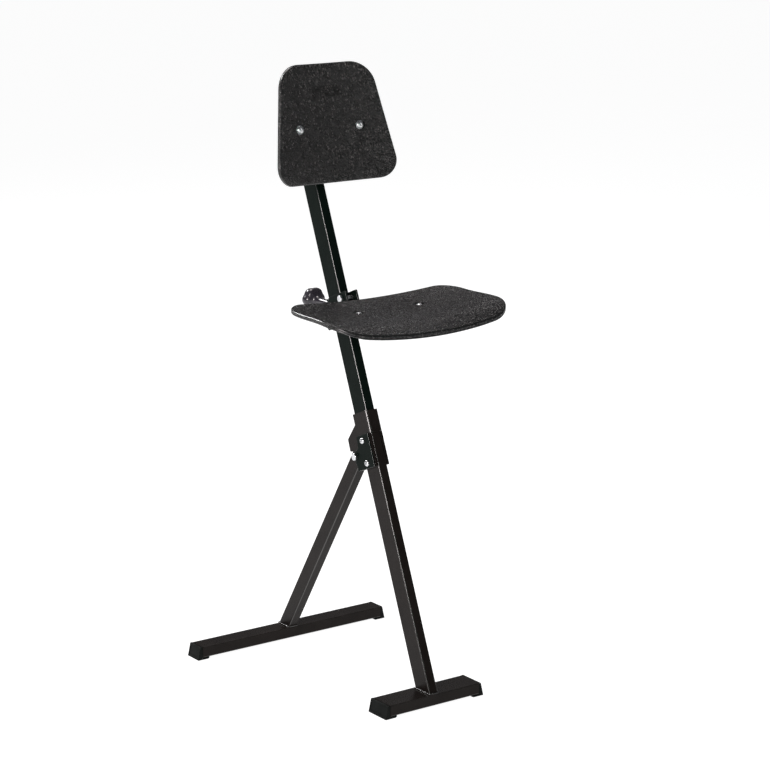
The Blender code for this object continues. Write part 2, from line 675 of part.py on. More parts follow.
def make_seat(slide, cross_plate, finishes):
    """Moulded seat shell with two screws into nuts under the cross plate, and its corner buffers."""
    home = Vector(slide.location)
    rings = shell_rings(seat_outline(), (0.0, -0.145), seat_height, SEAT_THICK, SEAT_EDGE)
    rings = [[(x, y - home.y, z - home.z) for x, y, z in ring] for ring in rings]
    shell = add_object("seat_shell", rings_to_mesh(rings), finishes["seat"], slide)
    plate_top = CROSS_PLATE_TOP_Z + GAP
    for side, name in ((-1, "left"), (1, "right")):
        x = side * SEAT_SCREW_X
        face = seat_height(x, SEAT_MIDDLE_Y)
        at = (x, SEAT_MIDDLE_Y - home.y, 0)
        boss = cylinder(0.013, plate_top - home.z, face - SEAT_THICK / 2 - home.z)
        add_boolean(shell, add_object(f"seat_boss_{name}", boss, None, slide, at), "UNION")
    for side, name in ((-1, "left"), (1, "right")):
        x = side * SEAT_SCREW_X
        face = seat_height(x, SEAT_MIDDLE_Y)
        at = (x, SEAT_MIDDLE_Y - home.y, 0)
        sink = face - 0.0045 - home.z
        recess = turned(
            [
                (CROSS_PLATE_TOP_Z - 0.02 - home.z, 0.0035, "round"),
                (sink, 0.0035, "round"),
                (sink, 0.0095, "round"),
                (sink + 0.01, 0.0105, "round"),
            ]
        )
        tool = add_object(f"seat_recess_{name}", recess, None, slide, at)
        add_boolean(shell, tool, "DIFFERENCE")
        add_boolean(cross_plate, tool, "DIFFERENCE")
        head = sink + GAP
        tip = CROSS_PLATE_TOP_Z - CROSS_PLATE_THICK - 0.009 - home.z
        screw = [
            (tip, SCREW_RADIUS - 0.0005, "round"),
            (tip + 0.0005, SCREW_RADIUS, "round"),
            (head, SCREW_RADIUS, "round"),
            (head, 0.0082, "round"),
            (head + 0.0012, 0.0082, "round"),
            (head + 0.0012, 0.0062, "round"),
            (head + 0.0028, 0.0052, "round"),
            (head + 0.0036, 0.003, "round"),
        ]
        add_object(f"seat_screw_{name}", turned(screw), finishes["zinc"], slide, at)
        nut_at = (x, SEAT_MIDDLE_Y - home.y, CROSS_PLATE_TOP_Z - CROSS_PLATE_THICK - GAP - home.z)
        nut = hex_nut(SCREW_RADIUS, SCREW_NUT_FLATS, SCREW_NUT_THICK)
        add_object(f"seat_nut_{name}", nut, finishes["zinc"], slide, nut_at, (math.pi, 0, 0))

        x, y = side * BUFFER_X, BUFFER_Y
        step = 0.001
        slope_x = (seat_height(x + step, y) - seat_height(x - step, y)) / (2 * step)
        slope_y = (seat_height(x, y + step) - seat_height(x, y - step)) / (2 * step)
        square_to_seat = Vector((-slope_x, -slope_y, 1.0)).to_track_quat("Z", "Y").to_euler()
        under = seat_height(x, y) - SEAT_THICK - BUFFER_GAP - home.z
        buffer = [
            (-0.0075, 0.0035, "round"),
            (-0.0065, 0.0062, "round"),
            (-0.0040, 0.0080, "round"),
            (0.0, 0.0086, "round"),
        ]
        at = (x, y - home.y, under)
        add_object(f"seat_buffer_{name}", turned(buffer), finishes["rubber"], slide, at, square_to_seat)


def make_clamp_knob(slide, finishes):
    """Lobed knob on a long hub, its stud, and the pad that presses on the rear of the post."""
    home = Vector(slide.location)
    nut_back = WEB_FRONT_Y + WEB_THICK + 2 * GAP + 0.007
    knob_axis = add_axis("clamp_knob_axis", (0, nut_back - home.y, STUD_Z - home.z), 0.0, slide)
    hub_start = 0.0005
    disc, back = KNOB_FRONT_Y - nut_back, KNOB_BACK_Y - nut_back
    bore = STUD_RADIUS + GAP
    stud_end = back - 0.008
    profile = [
        (hub_start, bore, "round"),
        (hub_start, 0.0070, "round"),
        (hub_start + 0.012, 0.0066, "round"),
        (disc - 0.012, 0.0072, "round"),
        (disc - 0.005, 0.0095, "round"),
        (disc - 0.001, KNOB_RADIUS * 0.80, "lobed"),
        (disc + 0.002, KNOB_RADIUS * 0.93, "lobed"),
        (disc + 0.007, KNOB_RADIUS, "lobed"),
        (disc + 0.013, KNOB_RADIUS, "lobed"),
        (disc + 0.018, KNOB_RADIUS * 0.90, "lobed"),
        (back - 0.001, KNOB_RADIUS * 0.62, "lobed"),
        (back, KNOB_RADIUS * 0.35, "round"),
        (back, 0.002, "round"),
        (stud_end + GAP, 0.002, "round"),
        (stud_end + GAP, bore, "round"),
    ]
    knob = turned(profile, segments=36, loop=True, lobes=KNOB_LOBES, lobe_depth=0.16)
    add_object("clamp_knob", knob, finishes["knob"], knob_axis, (0, 0, 0), ALONG_Y)

    face_y = POST_BASE_Y + (STUD_Z + POST_DEPTH / 2 * math.sin(POST_TILT)) * math.tan(POST_TILT)
    face_y += POST_DEPTH / 2 * math.cos(POST_TILT)
    tip = face_y + 0.0006 - nut_back
    pad_end = tip + 0.0035
    pad = [
        (tip, 0.0008, "round"),
        (tip + 0.0022, 0.0036, "round"),
        (pad_end, 0.0042, "round"),
    ]
    add_object("clamp_pressure_pad", turned(pad), finishes["cap"], knob_axis, (0, 0, 0), ALONG_Y)
    stud = [
        (pad_end + GAP, STUD_RADIUS - 0.0008, "round"),
        (pad_end + GAP + 0.0008, STUD_RADIUS, "round"),
        (stud_end, STUD_RADIUS, "round"),
    ]
    add_object("clamp_stud", turned(stud), finishes["zinc"], knob_axis, (0, 0, 0), ALONG_Y)


# Backrest -------------------------------------------------------------------------------------------


def backrest_pivot():
    """World (y, z) of the backrest's pivot."""
    y = BACK_SCREW_Y + BACK_PIVOT_BEHIND * math.cos(BACK_TILT)
    return y, BACK_SCREW_Z - BACK_PIVOT_BEHIND * math.sin(BACK_TILT)


def make_backrest_arms(post, upper_tube, finishes):
    """Two arms bolted to the sides of the post that carry the backrest's pivot."""
    v, u = to_post(*backrest_pivot())
    inner = POST_WIDTH / 2 + GAP
    outer = inner + BACK_ARM_THICK
    outline = [
        (0.018, u - 0.036),
        (0.018, u + 0.030),
        (-0.020, u + 0.030),
        *arc((v, u), 0.013, 70, 290, 8),
        (-0.020, u - 0.036),
    ]
    arms = []
    for side, name in ((-1, "left"), (1, "right")):
        ends = sorted((side * inner, side * outer))
        arms.append(add_object(f"backrest_arm_{name}", slab(outline, *ends), finishes["frame"], post))
    for height, name in ((0.018, "upper"), (-0.024, "lower")):
        at = (0, 0, u + height)
        tool = hole_tool(f"backrest_arm_hole_{name}", SCREW_RADIUS + GAP, -0.03, 0.03, post, at, ALONG_X)
        for target in arms + [upper_tube]:
            add_boolean(target, tool, "DIFFERENCE")
        face = outer + GAP
        screw = button_screw(2 * face)
        screw_at = (-face, *at[1:])
        add_object(f"backrest_arm_screw_{name}", screw, finishes["zinc"], post, screw_at, ALONG_MINUS_X)
        nut = hex_nut(SCREW_RADIUS, SCREW_NUT_FLATS, SCREW_NUT_THICK)
        add_object(f"backrest_arm_nut_{name}", nut, finishes["zinc"], post, (face, *at[1:]), ALONG_X)

    tool = hole_tool("backrest_pivot_hole", BOLT_RADIUS + GAP, -0.03, 0.03, post, (0, v, u), ALONG_X)
    for target in arms:
        add_boolean(target, tool, "DIFFERENCE")
    spacer = sleeve(BOLT_RADIUS + GAP, 0.0065, inner - GAP)
    add_object("backrest_pivot_spacer", spacer, finishes["zinc"], post, (0, v, u), ALONG_X)
    face = outer + GAP + BACK_PLATE_THICK + GAP
    bolt = hex_bolt(2 * face)
    add_object("backrest_pivot_bolt", bolt, finishes["zinc"], post, (-face, v, u), ALONG_MINUS_X)
    nut = hex_nut(BOLT_RADIUS, HEX_FLATS, NUT_THICK)
    add_object("backrest_pivot_nut", nut, finishes["zinc"], post, (face, v, u), ALONG_X)


def make_backrest(finishes):
    """Moulded backrest shell on a plate whose two ears turn on the pivot bolt."""
    tilt_axis = add_axis("backrest_tilt_axis", (0, *backrest_pivot()), -BACK_TILT)
    front = -BACK_PIVOT_BEHIND  # the screws are level with the pivot along the shell
    rings = shell_rings(back_outline(), (0.0, 0.0), lambda x, _: -back_depth(x), BACK_THICK, BACK_EDGE)
    rings = [[(x, front - depth, height) for x, height, depth in ring] for ring in rings]
    shell = add_object("backrest_shell", rings_to_mesh(rings), finishes["seat"], tilt_axis)

    plate_front = front + 0.017
    plate_back = plate_front + BACK_PLATE_THICK
    plate_half = BACK_SCREW_X + 0.016
    outline = filleted(
        [
            ((plate_half, 0.016), 0.006),
            ((-plate_half, 0.016), 0.006),
            ((-plate_half, -0.016), 0.006),
            ((plate_half, -0.016), 0.006),
        ],
        steps=3,
    )
    plate = slab(outline, plate_front, plate_back, "Y")
    plate = add_object("backrest_plate", plate, finishes["frame"], tilt_axis)
    ear_inner = POST_WIDTH / 2 + GAP + BACK_ARM_THICK + GAP
    for side, name in ((-1, "left"), (1, "right")):
        ear = [(plate_front + 0.001, 0.012), (plate_front + 0.001, -0.012)] + arc((0, 0), 0.010, -80, 80, 6)
        ends = sorted((side * ear_inner, side * (ear_inner + BACK_PLATE_THICK)))
        add_boolean(plate, add_object(f"backrest_ear_{name}", slab(ear, *ends), None, tilt_axis), "UNION")
    tool = hole_tool("backrest_ear_hole", BOLT_RADIUS + GAP, -0.03, 0.03, tilt_axis, (0, 0, 0), ALONG_X)
    add_boolean(plate, tool, "DIFFERENCE")

    for side, name in ((-1, "left"), (1, "right")):
        boss = cylinder(0.011, front + BACK_THICK / 2, plate_front - GAP)
        at = (side * BACK_SCREW_X, 0, 0)
        add_boolean(shell, add_object(f"backrest_boss_{name}", boss, None, tilt_axis, at, ALONG_Y), "UNION")
    for side, name in ((-1, "left"), (1, "right")):
        at = (side * BACK_SCREW_X, 0, 0)
        sink = front + 0.0035
        recess = turned(
            [
                (sink - 0.01, 0.0098, "round"),
                (sink, 0.0092, "round"),
                (sink, 0.0035, "round"),
                (plate_back + 0.01, 0.0035, "round"),
            ]
        )
        tool = add_object(f"backrest_recess_{name}", recess, None, tilt_axis, at, ALONG_Y)
        add_boolean(shell, tool, "DIFFERENCE")
        add_boolean(plate, tool, "DIFFERENCE")
        head = sink - GAP
        screw = [
            (head - 0.0048, 0.0030, "round"),
            (head - 0.0042, 0.0052, "round"),
            (head - 0.0030, 0.0066, "round"),
            (head - 0.0014, 0.0070, "round"),
            (head - 0.0014, 0.0086, "round"),
            (head, 0.0086, "round"),
            (head, SCREW_RADIUS, "round"),
            (plate_back + 0.0080, SCREW_RADIUS, "round"),
            (plate_back + 0.0085, SCREW_RADIUS - 0.0005, "round"),
        ]
        add_object(f"backrest_screw_{name}", turned(screw), finishes["zinc"], tilt_axis, at, ALONG_Y)
        nut = hex_nut(SCREW_RADIUS, SCREW_NUT_FLATS, SCREW_NUT_THICK)
        nut_at = (side * BACK_SCREW_X, plate_back + GAP, 0)
        add_object(f"backrest_nut_{name}", nut, finishes["zinc"], tilt_axis, nut_at, ALONG_Y)


# Assembly -------------------------------------------------------------------------------------------


def main():
    for old in list(bpy.data.objects):
        bpy.data.objects.remove(old)
    finishes = make_materials()
    make_foot("front", FRONT_FOOT_Y, FRONT_FOOT_DEPTH, FRONT_FOOT_HEIGHT, FRONT_FOOT_HALF, finishes)
    make_foot("rear", REAR_FOOT_Y, REAR_FOOT_DEPTH, REAR_FOOT_HEIGHT, REAR_FOOT_HALF, finishes)
    post, lower, upper, insert = make_front_post(finishes)
    make_hinge_bracket(post, {"lower": lower, "insert": insert}, finishes)
    make_rear_leg(finishes)
    slide = add_axis("seat_slide_axis", (0, *post_point(0.760, 0.0)))
    cross_plate = make_seat_carrier(slide, finishes)
    make_seat(slide, cross_plate, finishes)
    make_clamp_knob(slide, finishes)
    make_backrest_arms(post, upper, finishes)
    make_backrest(finishes)


main()
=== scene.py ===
"""Looks of the folding sit-stand stool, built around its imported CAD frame. Metres, +Z up, user faces -Y.

Most CAD nodes are replaced by a finer piece of the same size: tubes with true corner radii, plates with
broken edges, moulded shells, fasteners with chamfers, sockets and threads, and weld beads. Every piece
rides on the body of the node that it stands for.
"""

import json
import math

import bmesh
import bpy
from mathutils import Matrix, Vector, noise


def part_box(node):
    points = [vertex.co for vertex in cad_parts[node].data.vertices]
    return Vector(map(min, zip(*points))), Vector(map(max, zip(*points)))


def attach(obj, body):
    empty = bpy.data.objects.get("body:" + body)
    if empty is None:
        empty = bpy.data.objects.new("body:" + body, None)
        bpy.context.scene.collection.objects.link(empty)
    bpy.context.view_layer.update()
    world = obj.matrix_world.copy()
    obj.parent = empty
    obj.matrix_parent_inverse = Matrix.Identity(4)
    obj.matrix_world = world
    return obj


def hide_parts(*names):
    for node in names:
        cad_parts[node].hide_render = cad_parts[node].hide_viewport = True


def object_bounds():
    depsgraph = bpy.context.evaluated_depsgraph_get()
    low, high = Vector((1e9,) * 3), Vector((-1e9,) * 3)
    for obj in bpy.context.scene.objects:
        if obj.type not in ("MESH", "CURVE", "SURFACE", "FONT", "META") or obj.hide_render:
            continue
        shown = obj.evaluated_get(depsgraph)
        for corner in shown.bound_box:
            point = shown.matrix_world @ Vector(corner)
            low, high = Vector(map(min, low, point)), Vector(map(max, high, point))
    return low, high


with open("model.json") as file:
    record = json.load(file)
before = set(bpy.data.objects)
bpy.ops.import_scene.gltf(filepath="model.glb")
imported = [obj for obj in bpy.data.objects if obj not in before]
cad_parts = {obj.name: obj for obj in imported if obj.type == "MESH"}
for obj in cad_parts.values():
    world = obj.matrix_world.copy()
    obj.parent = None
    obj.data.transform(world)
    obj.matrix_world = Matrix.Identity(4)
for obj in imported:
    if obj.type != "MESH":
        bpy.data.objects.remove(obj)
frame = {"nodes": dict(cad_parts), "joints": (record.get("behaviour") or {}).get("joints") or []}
cad_low, cad_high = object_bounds()
joints = {joint["name"]: Vector(joint["pos_m"]) for joint in frame["joints"] if "pos_m" in joint}

# Dimensions, as in the CAD part --------

GAP = 0.0003

POST_TILT, LEG_TILT, BACK_TILT = math.radians(21.94), math.radians(32.39), math.radians(10.5)
POST_BASE_Y = -0.2408
POST_WIDTH, POST_DEPTH = 0.020, 0.042
POST_JOINT_U, POST_TOP_U = 0.540, 1.150
TUBE_CORNER, TUBE_WALL = 0.0025, 0.002
LEG_WIDTH, LEG_DEPTH, LEG_CORNER = 0.020, 0.0305, 0.002
LEG_ABOVE_PIVOT, LEG_BEHIND_PIVOT = 0.0104, 0.0044
PIVOT_U, PIVOT_V, BUSH_RADIUS = 0.4839, 0.0364, 0.0062

FOOT_GAP, CAP_OVERHANG, CAP_SLOPE, PAD_LENGTH = 0.004, 0.011, 0.006, 0.024
FEET = {
    "front": (-0.2296, 0.0558, 0.0217, 0.1136, "frame"),  # centre Y, depth, height, half length, body
    "rear": (0.2372, 0.0405, 0.0221, 0.2250, "rear_leg"),
}

BRACKET_THICK, CHEEK_THICK = 0.004, 0.0025
BRACKET_TOP_U, BRACKET_LEDGE_U, BRACKET_BOTTOM_U = 0.562, 0.520, 0.455
BRACKET_BOLTS_UV = ((0.5089, 0.0030), (0.4654, 0.0035))
BOLT_RADIUS, HEX_FLATS, HEX_HEAD, NUT_THICK = 0.004, 0.013, 0.0052, 0.0065
SCREW_RADIUS = 0.003
BUTTON_RADIUS, BUTTON_HEAD = 0.006, 0.0033
BOLT_NUT = (BOLT_RADIUS, HEX_FLATS, NUT_THICK)  # bolt radius, width across flats, thickness
SCREW_NUT = (SCREW_RADIUS, 0.010, 0.005)
THREAD_SHOWN = 0.009
BOLT_PITCH, SCREW_PITCH, STUD_PITCH = 0.00125, 0.001, 0.0015

CLAMP_TOP_U, CLAMP_BOTTOM_U = 0.7885, 0.7290
CLAMP_FRONT_V, CLAMP_REAR_V, CLAMP_THICK = -0.0445, 0.0360, 0.004
CLAMP_BOLTS_UV = ((0.777, -0.0285), (0.742, -0.0285))
WEB_FRONT_Y, WEB_THICK, WEB_TOP_Z = 0.0735, 0.004, 0.722
STUD_Z, STUD_RADIUS, STUD_NUT_FLATS, STUD_NUT_THICK = 0.710, 0.005, 0.0165, 0.007
KNOB_RADIUS, KNOB_FRONT_Y, KNOB_BACK_Y = 0.0235, 0.1280, 0.1520
KNOB_LOBES, KNOB_VALLEY = 6, 0.085  # the valleys' depth is a share of the radius

SEAT_MIDDLE_Y, SEAT_TOP_Z = -0.1109, 0.7329
SEAT_REAR_HALF, SEAT_FRONT_HALF = 0.190, 0.202
SEAT_REAR_Y, SEAT_FRONT_Y = -0.0430, -0.2410
SEAT_REAR_BOW, SEAT_FRONT_BOW = 0.003, 0.012
SEAT_REAR_CORNER, SEAT_FRONT_CORNER = 0.047, 0.064
SEAT_REAR_STRAIGHT, SEAT_FRONT_STRAIGHT = 0.138, 0.115  # half lengths of the edges between the corners
SEAT_DISH = (0.001, 0.008, 0.0114)  # the face over s, s squared and s cubed, with s in 0.1 m rearward
SEAT_SIDE_RISE, SEAT_LIP_Y, SEAT_LIP_DROP = 0.0106, -0.2112, 0.0068
SEAT_THICK, SEAT_SCREW_X, SEAT_SCREW_SINK = 0.0085, 0.0686, 0.0045
BUFFER_X, BUFFER_Y, BUFFER_GAP = 0.139, -0.2185, 0.0012
CROSS_PLATE_TOP_Z, CROSS_PLATE_THICK, CROSS_PLATE_DEPTH = 0.7190, 0.004, 0.040
ARM_FRONT_Y, ARM_HEIGHT = -0.165, 0.014

BACK_SCREW_X = 0.0677
BACK_TOP, BACK_BOTTOM = 0.1203, 0.1032
BACK_TOP_HALF, BACK_BOTTOM_HALF = 0.1000, 0.1396
BACK_TOP_CORNER, BACK_BOTTOM_CORNER = 0.052, 0.034
BACK_CURVE, BACK_THICK, BACK_PIVOT_BEHIND = 1.25, 0.010, 0.036
BACK_PLATE_THICK, BACK_PLATE_BEHIND, BACK_ARM_THICK = 0.003, 0.017, 0.003
BACK_ARM_SCREWS = (0.018, -0.024)  # heights from the pivot, up the post
BACK_SCREW_SINK = 0.0035
BLANK_PANEL = ((-0.030, 0.058), (0.030, 0.058), (0.030, 0.076), (-0.030, 0.076))
SHELL_HOLE_RADIUS, WASHER_BORE = 0.0035, 0.0034

EDGE_BREAK = 0.0005  # bevel on the edges of the steel plates
EDGE_FLATNESS = {"frame": 0.99, "post": 0.99, "seat": 0.88}  # below it, a face takes the look of an edge
ROUND = 48  # segments of a turned piece

SIDES = ((-1, "left"), (1, "right"))

# Frames of the parts. In POST, local Y runs rearward from the post's middle and local Z runs up it.
WORLD = Matrix()
POST = Matrix.Translation((0, POST_BASE_Y, 0)) @ Matrix.Rotation(-POST_TILT, 4, "X")
LEG = Matrix.Translation(joints["rear_leg_fold"]) @ Matrix.Rotation(LEG_TILT, 4, "X")
BACK = Matrix.Translation(joints["backrest_tilt"]) @ Matrix.Rotation(-BACK_TILT, 4, "X")
NUT_BACK_Y = WEB_FRONT_Y + WEB_THICK + 2 * GAP + STUD_NUT_THICK
KNOB = Matrix.Translation((0, NUT_BACK_Y, STUD_Z))
TO_X = Matrix.Rotation(math.pi / 2, 4, "Y")  # local +Z becomes +X
TO_MINUS_X = Matrix.Rotation(-math.pi / 2, 4, "Y")
TO_Y = Matrix.Rotation(-math.pi / 2, 4, "X")


# Materials --------


def add_node(tree, kind, **settings):
    """Adds a node. A setting is a property, a value for an input, or the output that feeds an input."""
    made = tree.nodes.new(kind)
    for key, value in settings.items():
        if hasattr(made, key):
            setattr(made, key, value)
        elif isinstance(value, bpy.types.NodeSocket):
            tree.links.new(value, made.inputs[key])
        else:
            made.inputs[key].default_value = value
    return made


def noise_texture(tree, coordinates, scale, detail=2.0, roughness=0.5, output="Fac"):
    settings = {"Vector": coordinates, "Scale": scale, "Detail": detail, "Roughness": roughness}
    return add_node(tree, "ShaderNodeTexNoise", **settings).outputs[output]


def spread(tree, value, low, high, to_low=0.0, to_high=1.0):
    made = add_node(tree, "ShaderNodeMapRange", interpolation_type="SMOOTHSTEP", Value=value)
    for socket, number in zip(("From Min", "From Max", "To Min", "To Max"), (low, high, to_low, to_high)):
        made.inputs[socket].default_value = number
    return made.outputs["Result"]


def mix_colours(tree, factor, first, second, blend="MIX"):
    made = add_node(tree, "ShaderNodeMix", data_type="RGBA", blend_type=blend, Factor=factor)
    for socket, colour in (("A", first), ("B", second)):
        where = next(s for s in made.inputs if s.name == socket and s.type == "RGBA")
        if isinstance(colour, tuple):
            where.default_value = (*colour, 1.0)
        else:
            tree.links.new(colour, where)
    return next(s for s in made.outputs if s.type == "RGBA")


def add_bump(tree, height, strength, distance, before=None):
    made = add_node(tree, "ShaderNodeBump", Strength=strength, Distance=distance, Height=height)
    if before:
        tree.links.new(before, made.inputs["Normal"])
    return made.outputs["Normal"]


def start_material(name, metallic, specular):
    made = bpy.data.materials.new(name)
    made.use_nodes = True
    tree = made.node_tree
    shader = tree.nodes["Principled BSDF"]
    shader.inputs["Metallic"].default_value = metallic
    shader.inputs["Specular IOR Level"].default_value = specular
    coordinates = add_node(tree, "ShaderNodeTexCoord").outputs["Object"]
    return made, tree, shader, coordinates


def surface(name, dark, light, rough, specular, bumps, metallic=0.0, mottle=28.0, speck=900.0):
    """Procedural finish: a slow drift between two colours, a fine drift in roughness, and noise bumps.

    rough is (smoothest, roughest). Each bump is (scale, detail, strength, depth).
    """
    made, tree, shader, coordinates = start_material(name, metallic, specular)
    drift = spread(tree, noise_texture(tree, coordinates, mottle, 4.0, 0.6), 0.35, 0.65)
    tree.links.new(mix_colours(tree, drift, dark, light), shader.inputs["Base Color"])
    fine = noise_texture(tree, coordinates, speck, 3.0, 0.6)
    tree.links.new(spread(tree, fine, 0.3, 0.7, *rough), shader.inputs["Roughness"])
    normal = None
    for scale, detail, strength, depth in bumps:
        normal = add_bump(tree, noise_texture(tree, coordinates, scale, detail), strength, depth, normal)
    tree.links.new(normal, shader.inputs["Normal"])
    return made


def pebbled_skin(name, painted_crease_shade, crown, rough, specular, cell, depth):
    """Moulded skin with a leather-like pebble grain: raised cells, fine pores, painted shade in its creases
    and painted glints on some crowns.
    """
    made, tree, shader, coordinates = start_material(name, 0.0, specular)
    wobble = noise_texture(tree, coordinates, cell * 0.9, output="Color")
    shift = add_node(tree, "ShaderNodeVectorMath", operation="MULTIPLY_ADD")
    tree.links.new(wobble, shift.inputs[0])
    shift.inputs[1].default_value = (0.6 / cell,) * 3
    tree.links.new(coordinates, shift.inputs[2])
    grain = {"Vector": shift.outputs["Vector"], "Scale": cell}
    cells = add_node(tree, "ShaderNodeTexVoronoi", feature="DISTANCE_TO_EDGE", **grain)
    crowns = spread(tree, cells.outputs["Distance"], 0.02, 0.26)
    heights = add_node(tree, "ShaderNodeTexVoronoi", feature="F1", **grain)
    apart = add_node(tree, "ShaderNodeSeparateColor", Color=heights.outputs["Color"])
    # A share of the cells gets a base colour five times lighter than the crown colour: painted glints.
    painted_glint = spread(tree, apart.outputs["Red"], 0.50, 0.85)
    top = mix_colours(tree, painted_glint, crown, tuple(5.0 * channel for channel in crown))
    # The creases take the darker first colour: painted shade where the grain's creases would lie in shadow.
    tone = mix_colours(tree, crowns, painted_crease_shade, top)
    drift = spread(tree, noise_texture(tree, coordinates, 14.0, 3.0, 0.6), 0.3, 0.7)
    worn = mix_colours(tree, drift, tone, (0.7, 0.7, 0.7), "MULTIPLY")
    tree.links.new(worn, shader.inputs["Base Color"])
    fine = noise_texture(tree, coordinates, cell * 1.3, 2.0, 0.6)
    tree.links.new(spread(tree, fine, 0.3, 0.7, *rough), shader.inputs["Roughness"])
    normal = add_bump(tree, crowns, 1.0, depth)
    normal = add_bump(tree, noise_texture(tree, coordinates, cell * 0.7, 3.0), 0.8, depth * 1.5, normal)
    normal = add_bump(tree, noise_texture(tree, coordinates, cell * 5.0, 2.0), 0.35, depth * 0.3, normal)
    tree.links.new(normal, shader.inputs["Normal"])
    return made


ORANGE_PEEL = ((700.0, 2.0, 0.35, 0.00012), (2600.0, 2.0, 0.25, 0.00004))
MOULDED = ((1500.0, 2.0, 0.5, 0.00010), (4200.0, 2.0, 0.3, 0.00004))

looks = {
    "frame": surface(
        "brown_black_powder_coat", (0.0080, 0.0062, 0.0055), (0.0105, 0.0084, 0.0075),
        rough=(0.24, 0.34), specular=0.08, bumps=ORANGE_PEEL,
    ),
    "post": surface(
        "green_black_powder_coat", (0.0024, 0.0050, 0.0040), (0.0036, 0.0066, 0.0054),
        rough=(0.22, 0.32), specular=0.03, bumps=ORANGE_PEEL,
    ),
    "weld": surface(
        "coated_weld_bead", (0.010, 0.009, 0.009), (0.020, 0.018, 0.017),
        rough=(0.10, 0.20), specular=0.75, bumps=((900.0, 2.0, 0.4, 0.0002),),
    ),
    # Skin of the seat and backrest. Its first colour is painted shade for the grain's creases; a share of
    # its crowns is painted lighter as painted glints.
    "seat": pebbled_skin(
        "pebbled_shell_skin", (0.003, 0.0028, 0.0028), (0.0105, 0.0096, 0.0095),
        rough=(0.14, 0.24), specular=0.42, cell=230.0, depth=0.0034,
    ),
    "cap": surface(
        "moulded_cap_plastic", (0.0042, 0.0052, 0.0048), (0.0070, 0.0080, 0.0076),
        rough=(0.36, 0.50), specular=0.05, bumps=MOULDED,
    ),
    "knob": surface(
        "polished_knob_plastic", (0.016, 0.014, 0.019), (0.024, 0.021, 0.028),
        rough=(0.18, 0.28), specular=0.60, bumps=((350.0, 2.0, 0.12, 0.0001),), mottle=60.0,
    ),
    "zinc": surface(
        "bright_zinc_plate", (0.60, 0.61, 0.63), (0.76, 0.77, 0.78),
        rough=(0.16, 0.34), specular=0.5, bumps=((1800.0, 3.0, 0.3, 0.00006),),
        metallic=1.0, mottle=260.0, speck=2600.0,
    ),
    "rubber": surface(
        "matt_rubber", (0.010, 0.010, 0.010), (0.016, 0.016, 0.016),
        rough=(0.66, 0.84), specular=0.25, bumps=((2400.0, 3.0, 0.6, 0.0001),),
    ),
}

slots = {
    "frame": "frame_coat",
    "post": "post_coat",
    "weld": "frame_coat",
    "seat": "shell_skin",
    "cap": "cap_plastic",
    "knob": "knob_plastic",
    "zinc": "zinc_plate",
    "rubber": "rubber_buffer",
}

# Rounded edges are glossier than the flats beside them.
edge_looks = {
    "frame": surface(
        "rounded_brown_black_edge", (0.010, 0.008, 0.007), (0.014, 0.011, 0.010),
        rough=(0.18, 0.26), specular=0.85, bumps=ORANGE_PEEL,
    ),
    "post": surface(
        "rounded_green_black_edge", (0.004, 0.006, 0.005), (0.005, 0.008, 0.007),
        rough=(0.18, 0.26), specular=0.85, bumps=ORANGE_PEEL,
    ),
    "seat": surface(
        "smooth_shell_rim", (0.006, 0.006, 0.006), (0.009, 0.009, 0.009),
        rough=(0.20, 0.28), specular=0.50, bumps=ORANGE_PEEL,
    ),
}


# Mesh helpers --------


def arc(centre, radius, start, end, steps):
    """Points on an arc from start to end degrees, both included."""
    points = []
    for step in range(steps + 1):
        angle = math.radians(start + (end - start) * step / steps)
        points.append((centre[0] + radius * math.cos(angle), centre[1] + radius * math.sin(angle)))
    return points


def rounded_rectangle(width, depth, corner, steps=6):
    w, d = width / 2 - corner, depth / 2 - corner
    return (
        arc((w, d), corner, 0, 90, steps)
        + arc((-w, d), corner, 90, 180, steps)
        + arc((-w, -d), corner, 180, 270, steps)
        + arc((w, -d), corner, 270, 360, steps)
    )


def filleted(corners, steps=8):
    """Outline through (point, radius) corners, each rounded to its own radius."""
    outline = []
    count = len(corners)
    for index, (here, radius) in enumerate(corners):
        here = Vector(here)
        before = (Vector(corners[index - 1][0]) - here).normalized()
        after = (Vector(corners[(index + 1) % count][0]) - here).normalized()
        if radius <= 0:
            outline.append(tuple(here))
            continue
        half = before.angle(after) / 2
        centre = here + (before + after).normalized() * radius / math.sin(half)
        start = here + before * radius / math.tan(half) - centre
        end = here + after * radius / math.tan(half) - centre
        turn = start.angle(end)
        for step in range(steps + 1):
            part = step / steps
            spoke = start * math.sin((1 - part) * turn) + end * math.sin(part * turn)
            outline.append(tuple(centre + spoke / math.sin(turn)))
    return outline


def skin(rings, loop=False):
    """Joins rings of equal length, with flat ends or with the last ring joined to the first."""
    bm = bmesh.new()
    made = [[bm.verts.new(point) for point in ring] for ring in rings]
    pairs = list(zip(made, made[1:]))
    if loop:
        pairs.append((made[-1], made[0]))
    for lower, upper in pairs:
        for index in range(len(lower)):
            after = (index + 1) % len(lower)
            bm.faces.new((lower[index], lower[after], upper[after], upper[index]))
    if not loop:
        bm.faces.new(list(reversed(made[0])))
        bm.faces.new(made[-1])
    return bm


def slab(outline, low, high, axis="X"):
    """Extrudes an outline along an axis. The outline is (Y, Z) for X, (X, Z) for Y and (X, Y) for Z."""
    place = {
        "X": lambda a, b, along: (along, a, b),
        "Y": lambda a, b, along: (a, along, b),
        "Z": lambda a, b, along: (a, b, along),
    }[axis]
    return skin([[place(a, b, along) for a, b in outline] for along in (low, high)])


def tube(width, depth, wall, corner, bottom, top):
    """Open rectangular tube along Z. bottom and top give the end height at a given local Y."""
    outside = rounded_rectangle(width, depth, corner)
    inside = rounded_rectangle(width - 2 * wall, depth - 2 * wall, max(corner - wall, 0.0005))
    rings = []
    for outline, level in ((outside, bottom), (outside, top), (inside, top), (inside, bottom)):
        rings.append([(x, y, level(y)) for x, y in outline])
    return skin(rings, loop=True)


